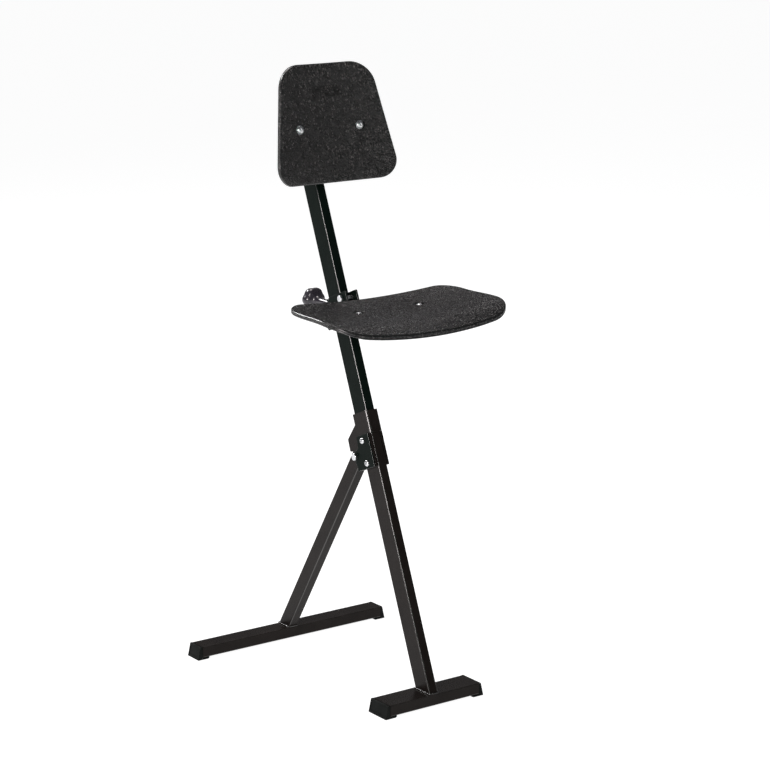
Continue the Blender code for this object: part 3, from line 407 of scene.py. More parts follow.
def turned(profile, loop=False, segments=ROUND, reach=None):
    """Turns (height, radius) or (height, radius, flats) steps about Z.

    With flats, the ring is cut by a hexagon at that distance, so a cone over a hexagon gives the curved
    chamfer of a real bolt head. reach(angle, height) scales each point.
    """
    rings = []
    for height, radius, *flats in profile:
        ring = []
        for index in range(segments):
            angle = 2 * math.pi * index / segments
            length = radius
            if flats:
                off_flat = (angle + math.pi / 6) % (math.pi / 3) - math.pi / 6
                length = min(radius, flats[0] / math.cos(off_flat))
            if reach:
                length *= reach(angle, height)
            ring.append((length * math.cos(angle), length * math.sin(angle), height))
        rings.append(ring)
    return skin(rings, loop=loop)


def quarter(radius, steps=5):
    """(inset, drop) along a quarter round, from its top to its side."""
    made = []
    for step in range(steps + 1):
        angle = math.pi / 2 * step / steps
        made.append((radius * (1 - math.sin(angle)), radius * (1 - math.cos(angle))))
    return made


def cylinder(radius, low, high):
    return turned([(low, radius), (high, radius)])


def add_object(name, data):
    made = bpy.data.objects.new(name, data)
    bpy.context.scene.collection.objects.link(made)
    return made


def loose_object(bm):
    bmesh.ops.remove_doubles(bm, verts=bm.verts, dist=1e-7)
    bmesh.ops.recalc_face_normals(bm, faces=bm.faces)
    mesh = bpy.data.meshes.new("loose")
    bm.to_mesh(mesh)
    bm.free()
    return add_object("loose", mesh)


def piece(name, bm, look, body, nodes=(), place=WORLD, bevel=0.0, adds=(), cuts=(), keeps=None, angle=40):
    """Makes a visible piece: joins adds, keeps what lies in keeps, breaks the edges, then cuts."""
    made = loose_object(bm)
    made.name = name
    tools = []
    steps = [(tool, "UNION") for tool in adds]
    if keeps:
        steps.append((keeps, "INTERSECT"))
    if bevel:
        steps.append((None, "BEVEL"))
    steps += [(tool, "DIFFERENCE") for tool in cuts]
    for tool, operation in steps:
        if operation == "BEVEL":
            edge = made.modifiers.new("edge", "BEVEL")
            edge.width = bevel
            edge.segments = 3
            edge.limit_method = "ANGLE"
            edge.angle_limit = math.radians(angle)
            continue
        tools.append(loose_object(tool))
        step = made.modifiers.new(operation.lower(), "BOOLEAN")
        step.operation = operation
        step.object = tools[-1]
        step.solver = "EXACT"
    if made.modifiers:
        graph = bpy.context.evaluated_depsgraph_get()
        finished = bpy.data.meshes.new_from_object(made.evaluated_get(graph), depsgraph=graph)
        made.modifiers.clear()
        made.data = finished
    for tool in tools:
        bpy.data.objects.remove(tool)
    made.data.name = name
    made.data.shade_smooth()
    made.data.set_sharp_from_angle(angle=math.radians(50))
    made.modifiers.new("even_shading", "WEIGHTED_NORMAL").keep_sharp = True
    material, slot = looks[look], slots[look]
    made.data.materials.clear()
    made.data.materials.append(material)
    if look in edge_looks:
        made.data.materials.append(edge_looks[look])
        for face in made.data.polygons:
            face.material_index = int(max(abs(part) for part in face.normal) < EDGE_FLATNESS[look])
    made.matrix_world = place
    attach(made, body)
    if nodes:
        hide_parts(*nodes)
    return made


def at(base, x, v, u, turn=WORLD):
    return base @ Matrix.Translation((x, v, u)) @ turn


def moved(bm, *place):
    """Moves a mesh to this x, v and u, with an optional turn."""
    bmesh.ops.transform(bm, verts=bm.verts, matrix=at(WORLD, *place))
    return bm


def side_hole(radius, v, u):
    """Cutter for a hole from side to side, with its clearance."""
    return moved(cylinder(radius + GAP, -0.04, 0.04), 0, v, u, TO_X)


def side_plate(outline, side, near, far):
    """Plate on one side of the middle, from near to far of it. The outline is (Y, Z)."""
    return slab(outline, *sorted((side * near, side * far)))


def post_yz(u, v):
    """World (y, z) of a point beside the post."""
    point = POST @ Vector((0, v, u))
    return point.y, point.z


# Fasteners --------


def threaded(tip, start, radius, pitch):
    """(height, radius) steps of a thread from its tip up to where it starts."""
    depth = pitch * 0.45
    steps = [(tip, radius - 2 * depth), (tip + depth, radius - depth)]
    turns = int((start - tip - pitch) / pitch)
    for turn in range(turns):
        base = tip + depth + pitch * turn
        steps += [(base + 0.45 * pitch, radius), (base + 0.6 * pitch, radius)]
        steps.append((base + pitch, radius - depth))
    return steps + [(start, radius - depth), (start, radius)]


def domed(radius, height, socket, drop):
    """Rounded head from its seat up to a hexagon socket."""
    steps = [(0.0, radius - 0.0002), (0.0002, radius)]
    for part in range(1, 7):
        angle = math.pi / 2 * part / 6.6
        rise = 0.0002 + (height - 0.0002) * math.sin(angle)
        steps.append((rise, radius * (0.30 + 0.70 * math.cos(angle))))
    top = steps[-1][0]
    wide = socket * 1.16
    steps += [(top, wide + 0.0002), (top - 0.0002, wide, socket)]
    return steps + [(top - drop, wide, socket), (top - drop, 0.0002)]


def chamfered_head(flats, height):
    """Hexagon head: a washer face under it, and a cone that trims its corners on top."""
    steps = [(0.0, flats * 0.93), (0.0004, flats * 0.95), (0.0004, flats * 1.16, flats)]
    for part in (0.0, 0.25, 0.5, 0.75, 1.0):
        steps.append((height - 0.0011 + 0.0008 * part, flats * (1.155 - 0.155 * part), flats))
    steps += [(height - 0.0001, flats * 0.96), (height, flats * 0.90)]
    return steps + [(height, flats * 0.55), (height - 0.0003, flats * 0.5)]


def bolt(name, kind, grip, body, place, nodes):
    """Bolt with its seat at height 0, head above. kind is hex or button."""
    radius = BOLT_RADIUS if kind == "hex" else SCREW_RADIUS
    pitch = BOLT_PITCH if kind == "hex" else SCREW_PITCH
    profile = threaded(-(grip + THREAD_SHOWN), -grip + 0.002, radius, pitch) + [(0.0, radius)]
    if kind == "hex":
        profile += chamfered_head(HEX_FLATS / 2, HEX_HEAD)
    else:
        profile += domed(BUTTON_RADIUS, BUTTON_HEAD, 0.002, 0.0018)
    piece(name, turned(profile), "zinc", body, nodes, place)


def nut(name, radius, flats, thick, body, place, nodes, look="zinc"):
    """Hexagon nut with both faces chamfered and a countersunk bore."""
    half, bore = flats / 2, radius + GAP
    profile = [(0.0004, bore), (0.0, bore + 0.0004), (0.0, half * 0.94), (0.0003, half)]
    rise = (0.0, 0.25, 0.5, 0.75, 1.0)
    profile += [(0.0003 + 0.0008 * part, half * (1.0 + 0.155 * part), half) for part in rise]
    profile += [(thick - 0.0011 + 0.0008 * part, half * (1.155 - 0.155 * part), half) for part in rise]
    profile += [(thick, half * 0.93), (thick, bore + 0.0005), (thick - 0.0005, bore)]
    piece(name, turned(profile, loop=True), look, body, nodes, place)


def cross_bolt(stem, kind, face, base, v, u, body, nodes):
    """A bolt through the frame from the left, and its nut on the right. nodes is (bolt, nut)."""
    bolt(f"{stem}_{kind}_bolt", kind, 2 * face, body, at(base, -face, v, u, TO_MINUS_X), nodes[:1])
    size = BOLT_NUT if kind == "hex" else SCREW_NUT
    nut(f"{stem}_locknut", *size, body, at(base, face, v, u, TO_X), nodes[1:])


def shell_screw(stem, kind, side, body, place, tip, washer, look, head, nut_place):
    """Round-headed screw through a shell, with its washer and nut. Heights run up from the washer's seat.

    washer is (radius, thickness, trim of its top edge), look is the washer's, and head is as for domed.
    """
    wide, thick, trim = washer
    rings = [(0.0, WASHER_BORE), (0.0, wide - 0.0002), (0.0003, wide), (thick - 0.0003, wide)]
    rings += [(thick, wide - trim), (thick, WASHER_BORE)]
    node = f"{stem}_screw_{side}"
    piece(f"{stem}_screw_washer_{side}", turned(rings, loop=True), look, body, [node], place)
    screw = threaded(tip, 0.0, SCREW_RADIUS, SCREW_PITCH)
    screw += [(thick + 0.0001 + height, radius, *flats) for height, radius, *flats in domed(*head)]
    piece(f"{stem}_{kind}_screw_{side}", turned(screw), "zinc", body, [node], place)
    nut(f"{stem}_locknut_{side}", *SCREW_NUT, body, nut_place, [f"{stem}_nut_{side}"])


# Feet --------


def make_feet():
    for prefix, (y, depth, height, half, body) in FEET.items():
        tube_half = half - CAP_OVERHANG
        across = Matrix(((0, 0, 1, 0), (1, 0, 0, 0), (0, 1, 0, 0), (0, 0, 0, 1)))  # X to Y, Y to Z, Z to X
        bm = tube(depth, height, TUBE_WALL, TUBE_CORNER, lambda _: -tube_half, lambda _: tube_half)
        place = Matrix.Translation((0, y, FOOT_GAP + height / 2)) @ across
        piece(f"{prefix}_foot_box_tube", bm, "frame", body, [f"{prefix}_foot_tube"], place)
        for side, name in SIDES:
            make_foot_cap(prefix, name, side, y, depth, height, half, body)


def make_foot_cap(prefix, name, side, y, depth, height, half, body):
    """End cap with a sloping end, a sunk panel in it, a pad under the tube and a tapered plug inside."""
    start, under, top = half - CAP_OVERHANG + GAP, FOOT_GAP - GAP, FOOT_GAP + height

    def block(outline, narrower):
        """Extrudes an (x, z) outline across the cap, narrower than it on both sides."""
        reach = depth / 2 - narrower
        return slab([(x * side, z) for x, z in outline], y - reach, y + reach, "Y")

    outside = [
        (start, top),
        (half - CAP_SLOPE, top),
        (half, 0.0),
        (half - PAD_LENGTH, 0.0),
        (half - PAD_LENGTH - 0.003, under),
        (start, under),
    ]
    wall, taper = TUBE_WALL + GAP, 0.0008
    plug_end, plug_low, plug_top = start - 0.014, under + wall + GAP, top - wall
    plug = [
        (start + 0.002, plug_low),
        (start + 0.002, plug_top),
        (plug_end, plug_top - taper),
        (plug_end, plug_low + taper),
    ]
    border, sunk, slope = 0.0035, 0.0007, CAP_SLOPE / top
    low_z, high_z = border + 0.0015, top - border
    panel = [
        (half - slope * low_z - sunk, low_z),
        (half - slope * low_z + 0.003, low_z),
        (half - slope * high_z + 0.003, high_z),
        (half - slope * high_z - sunk, high_z),
    ]
    piece(
        f"{prefix}_foot_end_cap_{name}",
        block(outside, 0.0),
        "cap",
        body,
        [f"{prefix}_foot_cap_{name}"],
        bevel=0.0011,
        adds=[block(plug, wall)],
        cuts=[block(panel, border)],
        angle=30,
    )


def weld_bead(name, base, outline, level, body, radius=0.0017, swing=0.0006):
    """Rippled bead along a closed outline of (x, y), whose height in the base frame is level(y)."""
    path = [base @ Vector((x, y, level(y))) for x, y in outline]
    closed = path + [path[0]]
    lengths = [(b - a).length for a, b in zip(closed, closed[1:])]
    count = int(sum(lengths) / 0.0006)
    points = []
    for index in range(count):
        along = sum(lengths) * index / count
        leg = 0
        while along > lengths[leg]:
            along -= lengths[leg]
            leg += 1
        points.append(closed[leg].lerp(closed[leg + 1], along / lengths[leg]))
    middle = sum(points, Vector()) / len(points)
    rings = []
    for index, point in enumerate(points):
        ahead = (points[(index + 1) % count] - points[index - 1]).normalized()
        side = ahead.cross(Vector((0, 0, 1))).normalized()
        if side.dot(point - middle) < 0:
            side = -side
        ripple = 0.5 + 0.5 * math.sin(2 * math.pi * index / 3.4)
        wave = noise.noise(point * 260.0)
        size = radius * (1.0 + 0.16 * ripple + 0.22 * wave)
        centre = point + side * (radius * 0.35 + swing * 0.3 * wave) + Vector((0, 0, radius * 0.15))
        ring = []
        for step in range(12):
            angle = 2 * math.pi * step / 12
            ring.append(centre + size * (side * math.cos(angle) + Vector((0, 0, 1)) * math.sin(angle)))
        rings.append(ring)
    piece(name, skin(rings, loop=True), "weld", body)


# Post, bracket and leg --------


def make_post():
    foot_top = FOOT_GAP + FEET["front"][2] + GAP
    pivot_u = (POST.inverted() @ joints["backrest_tilt"]).z

    def mitre(v):
        return (foot_top + v * math.sin(POST_TILT)) / math.cos(POST_TILT)

    size = (POST_WIDTH, POST_DEPTH, TUBE_WALL, TUBE_CORNER)
    lower = tube(*size, mitre, lambda _: POST_JOINT_U - GAP / 2)
    holes = [side_hole(SCREW_RADIUS, v, u) for u, v in BRACKET_BOLTS_UV]
    piece("post_lower_box_tube", lower, "frame", "frame", ["front_post_lower_tube"], POST, cuts=holes)
    upper = tube(*size, lambda _: POST_JOINT_U + GAP / 2, lambda _: POST_TOP_U)
    holes = [side_hole(SCREW_RADIUS, 0, pivot_u + height) for height in BACK_ARM_SCREWS]
    piece("post_upper_box_tube", upper, "post", "frame", ["front_post_upper_tube"], POST, cuts=holes)
    outline = rounded_rectangle(POST_WIDTH, POST_DEPTH, TUBE_CORNER)
    weld_bead("post_foot_weld", POST, outline, mitre, "frame")
    size = (POST_WIDTH, POST_DEPTH, POST_TOP_U, 0.0095, 0.0032)
    make_tube_plug("post_top_end_plug", *size, "frame", "front_post_top_plug", POST)


def make_tube_plug(name, width, depth, level, spigot, rise, body, node, place):
    """Push-in plug on a tube's end at height level: a domed cover and a ribbed spigot."""
    slack = 2 * (TUBE_WALL + GAP)
    inner = rounded_rectangle(width - slack, depth - slack, 0.001)
    ribbed = rounded_rectangle(width - slack - 0.0012, depth - slack - 0.0012, 0.001)
    rings = []
    shares = ((ribbed, 1.0), (ribbed, 0.79), (inner, 0.72), (inner, 0.61), (ribbed, 0.53), (ribbed, 0.38))
    for outline, share in shares + ((inner, 0.31), (inner, 0.0)):
        rings.append([(x, y, level - spigot * share) for x, y in outline])
    rings.append([(x, y, level + GAP) for x, y in inner])
    for inset, drop in reversed(quarter(rise * 0.9, 6)):
        outline = rounded_rectangle(width - 2 * inset, depth - 2 * inset, max(TUBE_CORNER - inset, 0.0004))
        rings.append([(x, y, level + GAP + rise * 0.9 - drop) for x, y in outline])
    outline = rounded_rectangle(width - 0.012, depth - 0.012, 0.0004)
    rings.append([(x, y, level + rise) for x, y in outline])
    piece(name, skin(rings), "cap", body, [node], place)


def bracket_holes():
    holes = [side_hole(SCREW_RADIUS, v, u) for u, v in BRACKET_BOLTS_UV]
    return holes + [side_hole(BOLT_RADIUS, PIVOT_V, PIVOT_U)]


def make_bracket():
    """Bent plate round the front of the post, two cheek plates over it, and the bolts."""
    inner = POST_WIDTH / 2 + GAP
    outer = inner + BRACKET_THICK
    front = -POST_DEPTH / 2 - GAP
    bend, far = 0.005, 0.080
    bend_x, bend_y = outer - bend, front - BRACKET_THICK + bend
    plan = (
        [(outer, far)]
        + arc((bend_x, bend_y), bend, 0, -90, 8)
        + arc((-bend_x, bend_y), bend, 270, 180, 8)
        + [(-outer, far), (-inner, far)]
        + arc((-inner + 0.001, front + 0.001), 0.001, 180, 270, 3)
        + arc((inner - 0.001, front + 0.001), 0.001, 270, 360, 3)
        + [(inner, far)]
    )
    lug = [(point, 0) for point in arc((PIVOT_V, PIVOT_U), 0.009, 100, -60, 12)]
    profile = filleted(
        [
            ((-0.021, BRACKET_BOTTOM_U), 0.001),
            ((-0.021, BRACKET_LEDGE_U), 0.001),
            ((-0.032, BRACKET_LEDGE_U), 0.0),
            ((-0.032, BRACKET_TOP_U), 0.0),
            ((0.020, BRACKET_TOP_U), 0.0015),
            ((0.020, 0.542), 0.003),
            ((0.054, 0.520), 0.0025),
            ((0.055, 0.4965), 0.002),
            *lug,
            ((0.037, BRACKET_BOTTOM_U), 0.0015),
        ],
        steps=4,
    )
    sheet = slab(plan, BRACKET_BOTTOM_U - 0.01, BRACKET_TOP_U + 0.01, "Z")
    piece(
        "hinge_bracket_bent_plate",
        sheet,
        "frame",
        "frame",
        ["hinge_bracket"],
        POST,
        bevel=EDGE_BREAK,
        keeps=slab(profile, -0.05, 0.05),
        cuts=bracket_holes(),
    )

    lug = [(point, 0) for point in arc((PIVOT_V, PIVOT_U), 0.0085, 95, -60, 12)]
    outline = filleted(
        [
            ((-0.0185, BRACKET_BOTTOM_U + 0.0005), 0.0015),
            ((-0.0185, BRACKET_LEDGE_U), 0.0015),
            ((0.0205, BRACKET_LEDGE_U), 0.0015),
            ((0.0225, 0.4985), 0.003),
            *lug,
            ((0.037, BRACKET_BOTTOM_U + 0.0005), 0.0015),
        ],
        steps=4,
    )
    low = outer + GAP
    for side, name in SIDES:
        plate = side_plate(outline, side, low, low + CHEEK_THICK)
        holes = bracket_holes()
        node = f"hinge_cheek_{name}"
        piece(f"{node}_plate", plate, "post", "frame", [node], POST, bevel=EDGE_BREAK, cuts=holes)

    face = low + CHEEK_THICK + GAP
    for (u, v), name in zip(BRACKET_BOLTS_UV, ("upper", "lower")):
        nodes = (f"hinge_bolt_{name}", f"hinge_nut_{name}")
        cross_bolt(f"hinge_{name}", "button", face, POST, v, u, "frame", nodes)
    nodes = ("leg_pivot_bolt", "leg_pivot_nut")
    cross_bolt("leg_pivot", "hex", face, POST, PIVOT_V, PIVOT_U, "frame", nodes)


def make_leg():
    pivot_z = joints["rear_leg_fold"].z
    foot_top = FOOT_GAP + FEET["rear"][2] + GAP

    def mitre(y):
        y += LEG_BEHIND_PIVOT
        return (foot_top - pivot_z - y * math.sin(LEG_TILT)) / math.cos(LEG_TILT)

    place = at(LEG, 0, LEG_BEHIND_PIVOT, 0)
    top = LEG_ABOVE_PIVOT - 0.0015
    bm = tube(LEG_WIDTH, LEG_DEPTH, TUBE_WALL, LEG_CORNER, mitre, lambda _: top)
    holes = [side_hole(BUSH_RADIUS, -LEG_BEHIND_PIVOT, 0.0)]
    piece("leg_box_tube", bm, "frame", "rear_leg", ["rear_leg_tube"], place, cuts=holes)
    outline = rounded_rectangle(LEG_WIDTH, LEG_DEPTH, LEG_CORNER)
    weld_bead("leg_foot_weld", place, outline, mitre, "rear_leg")
    size = (LEG_WIDTH, LEG_DEPTH, top, 0.0014, 0.0014)
    make_tube_plug("leg_top_end_plug", *size, "rear_leg", "rear_leg_top_plug", place)


# Seat carrier --------


def make_seat_carrier():
    body = "seat_carrier"
    inner = POST_WIDTH / 2 + GAP
    outer = inner + CLAMP_THICK
    arm_top = CROSS_PLATE_TOP_Z - CROSS_PLATE_THICK - GAP
    front_foot = post_yz(0.7505, CLAMP_FRONT_V)
    outline = filleted(
        [
            (post_yz(CLAMP_TOP_U, CLAMP_FRONT_V), 0.002),
            (post_yz(CLAMP_TOP_U, 0.0125), 0.003),
            (post_yz(0.7785, 0.0195), 0.0),
            (post_yz(0.7335, 0.0400), 0.003),
            (post_yz(CLAMP_BOTTOM_U, CLAMP_REAR_V), 0.0),
            (post_yz(CLAMP_BOTTOM_U, -0.0350), 0.006),
            ((ARM_FRONT_Y, arm_top - ARM_HEIGHT), 0.004),
            ((ARM_FRONT_Y, arm_top), 0.002),
            ((front_foot[0], arm_top), 0.004),
        ],
        steps=5,
    )
    for side, name in SIDES:
        plate = side_plate(outline, side, inner, outer)
        holes = [side_hole(BOLT_RADIUS, *post_yz(u, v)) for u, v in CLAMP_BOLTS_UV]
        nodes = [f"seat_arm_{name}"]
        piece(f"clamp_side_plate_{name}", plate, "post", body, nodes, bevel=EDGE_BREAK, cuts=holes)
    face = outer + GAP
    for (u, v), name in zip(CLAMP_BOLTS_UV, ("upper", "lower")):
        nodes = (f"clamp_bolt_{name}", f"clamp_nut_{name}")
        cross_bolt(f"clamp_{name}", "hex", face, WORLD, *post_yz(u, v), body, nodes)

    bottom_z = post_yz(CLAMP_BOTTOM_U, CLAMP_REAR_V)[1] + 0.002
    half = inner - GAP
    corners = [(-half, bottom_z), (half, bottom_z), (half, WEB_TOP_Z), (-half, WEB_TOP_Z)]
    outline = filleted([(point, 0.001) for point in corners], 3)
    web = slab(outline, WEB_FRONT_Y, WEB_FRONT_Y + WEB_THICK, "Y")
    hole = moved(cylinder(STUD_RADIUS + GAP, -0.02, 0.02), 0, WEB_FRONT_Y, STUD_Z, TO_Y)
    piece("clamp_rear_web", web, "post", body, ["clamp_web"], bevel=EDGE_BREAK, cuts=[hole])
    place = at(WORLD, 0, WEB_FRONT_Y + WEB_THICK + GAP, STUD_Z, TO_Y)
    size = (STUD_RADIUS, STUD_NUT_FLATS, STUD_NUT_THICK)
    nut("clamp_stud_weld_nut", *size, body, place, ["clamp_weld_nut"], "post")

    low_z = CROSS_PLATE_TOP_Z - CROSS_PLATE_THICK
    plate_half = SEAT_SCREW_X + 0.018
    outline = rounded_rectangle(2 * plate_half, CROSS_PLATE_DEPTH, 0.006, 8)
    plate = slab([(x, y + SEAT_MIDDLE_Y) for x, y in outline], low_z, CROSS_PLATE_TOP_Z, "Z")
    holes = []
    for side, _ in SIDES:
        hole = cylinder(SHELL_HOLE_RADIUS, low_z - 0.01, CROSS_PLATE_TOP_Z + 0.01)
        holes.append(moved(hole, side * SEAT_SCREW_X, SEAT_MIDDLE_Y, 0))
    piece("seat_mounting_strap", plate, "frame", body, ["seat_cross_plate"], bevel=EDGE_BREAK, cuts=holes)


# Shells --------


def seat_outline():
    """Plan of the seat as (x, y): rounded corners, bowed front and rear edges, sides that widen forward."""
    edges = (
        (1, SEAT_REAR_HALF, SEAT_REAR_Y, SEAT_REAR_BOW, SEAT_REAR_CORNER, SEAT_REAR_STRAIGHT),
        (-1, SEAT_FRONT_HALF, SEAT_FRONT_Y, -SEAT_FRONT_BOW, SEAT_FRONT_CORNER, SEAT_FRONT_STRAIGHT),
    )
    steps = 32
    corners = []
    for way, half, y, bow, corner, straight in edges:
        corners.append(((-way * half, y), corner))
        for step in range(1, steps):
            part = way * (2 * step / steps - 1)
            if abs(part * half) < straight:
                corners.append(((part * half, y + bow * (1 - part**2)), 0))
        corners.append(((way * half, y), corner))
    return filleted(corners, steps=14)


def seat_height(x, y):
    """Height of the seat's face: dished along Y, raised at the sides, bent down at its front lip."""
    s = (y - SEAT_MIDDLE_Y) / 0.1
    first, second, third = SEAT_DISH
    along = first * s + second * s**2 + third * s**3
    fall = max(0.0, SEAT_LIP_Y - y) / 0.08
    return SEAT_TOP_Z + along + SEAT_SIDE_RISE * (x / 0.18) ** 2 - SEAT_LIP_DROP * fall**2


def back_outline():
    """Face of the backrest as (x, height above the screws): a trapezium with round corners."""
    corners = [
        ((-BACK_BOTTOM_HALF, -BACK_BOTTOM), BACK_BOTTOM_CORNER),
        ((-BACK_TOP_HALF, BACK_TOP), BACK_TOP_CORNER),
        ((BACK_TOP_HALF, BACK_TOP), BACK_TOP_CORNER),
        ((BACK_BOTTOM_HALF, -BACK_BOTTOM), BACK_BOTTOM_CORNER),
    ]
    return filleted(corners, steps=16)


def back_depth(x):
    """How far the face of the backrest lies behind its face at the screws."""
    return BACK_CURVE * (BACK_SCREW_X**2 - x**2)


def evened(outline, spacing):
    """The same closed outline with points at an even spacing, kept where it bends."""
    made = []
    for here, after in zip(outline, outline[1:] + outline[:1]):
        here, after = Vector(here), Vector(after)
        parts = max(1, round((after - here).length / spacing))
        made += [tuple(here.lerp(after, part / parts)) for part in range(parts)]
    return made


def shell_skin(outline, centre, level, thick, top_round, low_round, to_point):
    """Dished shell of even thickness with a rounded top edge, a fine parting line and a soft lower edge.

    level(a, b) gives the face, and to_point(a, b, level) places a point.
    """
    outline = evened(outline, 0.006)
    count = len(outline)
    area = sum(a[0] * b[1] - b[0] * a[1] for a, b in zip(outline, outline[1:] + outline[:1]))
    turn = 1 if area > 0 else -1
    normals = []
    for index in range(count):
        ahead = Vector(outline[(index + 1) % count]) - Vector(outline[index - 1])
        normals.append(Vector((ahead.y, -ahead.x)).normalized() * turn)

    def ring(inset, drop, scale=1.0):
        points = []
        for (a, b), normal in zip(outline, normals):
            a, b = a - normal.x * inset, b - normal.y * inset
            a, b = centre[0] + (a - centre[0]) * scale, centre[1] + (b - centre[1]) * scale
            points.append(to_point(a, b, level(a, b) - drop))
        return points

    inner = [0.012] + [part / 14 for part in range(1, 14)] + [0.97]
    seam = thick * 0.60
    edge = quarter(top_round, 6)
    edge += [(0.0, seam - 0.0005), (0.0004, seam - 0.0001), (0.0004, seam + 0.0003), (0.0, seam + 0.0007)]
    edge += [(inset, thick - drop) for inset, drop in reversed(quarter(low_round, 5))]
    rings = [ring(top_round, 0.0, scale) for scale in inner]
    rings += [ring(inset, drop) for inset, drop in edge]
    rings += [ring(low_round, thick, scale) for scale in reversed(inner)]
    return skin(rings)


def recess(head, flat, mouth, rise):
    """Cutter for a screw recess: a bore, a flat seat at height head, and a wall with a rounded lip."""
    lip = 0.0009
    steps = [(head - 0.03, SHELL_HOLE_RADIUS), (head, SHELL_HOLE_RADIUS), (head, flat)]
    steps += [(head + rise - lip + drop, mouth - inset) for inset, drop in quarter(lip, 4)]
    return turned(steps + [(head + rise + 0.01, mouth + 0.0002)])


def make_seat():
    body = "seat_carrier"
    shape = (seat_outline(), (0.0, -0.145), seat_height, SEAT_THICK, 0.0030, 0.0020)
    shell = shell_skin(*shape, lambda x, y, z: (x, y, z))
    bottom, low_z = CROSS_PLATE_TOP_Z + GAP, CROSS_PLATE_TOP_Z - CROSS_PLATE_THICK
    bosses, cuts = [], []
    for side, _ in SIDES:
        x = side * SEAT_SCREW_X
        face = seat_height(x, SEAT_MIDDLE_Y)
        rings = [(bottom, 0.0126), (bottom + 0.0004, 0.013)]
        rings += [(face - SEAT_THICK - 0.001, 0.0134), (face - 0.004, 0.0150)]
        bosses.append(moved(turned(rings), x, SEAT_MIDDLE_Y, 0))
        cut = recess(face - SEAT_SCREW_SINK, 0.0095, 0.0106, SEAT_SCREW_SINK)
        cuts.append(moved(cut, x, SEAT_MIDDLE_Y, 0))
    piece("seat_shell_moulding", shell, "seat", body, ["seat_shell"], adds=bosses, cuts=cuts)

    washer, head = (0.0082, 0.0012, 0.0003), (0.0056, 0.0025, 0.002, 0.0014)
    for side, name in SIDES:
        x = side * SEAT_SCREW_X
        level = seat_height(x, SEAT_MIDDLE_Y) - SEAT_SCREW_SINK + GAP
        place = at(WORLD, x, SEAT_MIDDLE_Y, level)
        nut_place = at(WORLD, x, SEAT_MIDDLE_Y, low_z - GAP, Matrix.Rotation(math.pi, 4, "X"))
        tip = low_z - THREAD_SHOWN - level
        shell_screw("seat", "panhead", name, body, place, tip, washer, "cap", head, nut_place)
        make_buffer(name, side * BUFFER_X, BUFFER_Y, body)


def make_buffer(name, x, y, body):
    """Ribbed rubber buffer under a front corner of the seat, square to the shell."""
    step = 0.001
    slope_x = (seat_height(x + step, y) - seat_height(x - step, y)) / (2 * step)
    slope_y = (seat_height(x, y + step) - seat_height(x, y - step)) / (2 * step)
    turn = Vector((-slope_x, -slope_y, 1.0)).to_track_quat("Z", "Y").to_matrix().to_4x4()
    profile = [(-0.0075, 0.0012), (-0.0075, 0.0030), (-0.0072, 0.0042), (-0.0066, 0.0058)]
    profile += [(-0.0052, 0.0072), (-0.0040, 0.0079), (-0.0034, 0.0076), (-0.0028, 0.0076)]
    profile += [(-0.0022, 0.0082), (-0.0006, 0.0086), (0.0, 0.0084)]
    place = at(WORLD, x, y, seat_height(x, y) - SEAT_THICK - BUFFER_GAP, turn)
    piece(f"seat_rubber_buffer_{name}", turned(profile), "rubber", body, [f"seat_buffer_{name}"], place)


def make_knob():
    """Lobed knob on a long hub with its threaded stud. Heights run rearward from the weld nut."""
    body = "clamp_knob"
    disc, back = KNOB_FRONT_Y - NUT_BACK_Y, KNOB_BACK_Y - NUT_BACK_Y
    bore = STUD_RADIUS + GAP
    stud_end = back - 0.008
    hub = [(0.0005, bore), (0.0005, 0.0066), (0.0009, 0.0070), (0.006, 0.0067), (0.0125, 0.0066)]
    hub += [(0.022, 0.0067), (disc - 0.016, 0.0070), (disc - 0.010, 0.0077), (disc - 0.006, 0.0090)]
    hub.append((disc - 0.003, 0.0115))
    grip = [(disc - 0.0012, 0.0160), (disc, 0.0188), (disc + 0.0020, 0.0212), (disc + 0.0045, 0.0227)]
    grip += [(disc + 0.0075, 0.0234), (disc + 0.0110, KNOB_RADIUS), (disc + 0.0145, 0.0230)]
    grip += [(disc + 0.0175, 0.0216), (disc + 0.0200, 0.0193), (disc + 0.0220, 0.0160)]
    grip.append((back - 0.0004, 0.0118))
    dish = [(back, 0.0096), (back - 0.0002, 0.0088), (back - 0.0012, 0.0080)]
    dish += [(back - 0.0016, 0.0070), (back - 0.0016, 0.0020)]
    end = [(stud_end + GAP, 0.002), (stud_end + GAP, bore)]

    def share(distance, length):
        return min(max(distance / length, 0.0), 1.0)

    def reach(angle, height):
        """Cuts the valleys between the lobes, fading out at the disc's ends. The bore stays round."""
        if stud_end < height < stud_end + 2 * GAP:
            return 1.0
        valley = (0.5 - 0.5 * math.cos(KNOB_LOBES * angle)) ** 1.2
        across = share(height - disc + 0.004, 0.004) * share(back - 0.0002 - height, 0.002)
        return 1.0 - KNOB_VALLEY * valley * across

    knob = turned(hub + grip + dish + end, loop=True, segments=120, reach=reach)
    piece("clamp_lobed_knob", knob, "knob", body, ["clamp_knob"], KNOB @ TO_Y)
    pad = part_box("clamp_pressure_pad")
    start = pad[1].y - NUT_BACK_Y + GAP
    stud = threaded(start, stud_end, STUD_RADIUS, STUD_PITCH)[:-1] + [(stud_end, STUD_RADIUS - 0.0007)]
    piece("clamp_threaded_stud", turned(stud), "zinc", body, ["clamp_stud"], KNOB @ TO_Y)


# Backrest --------


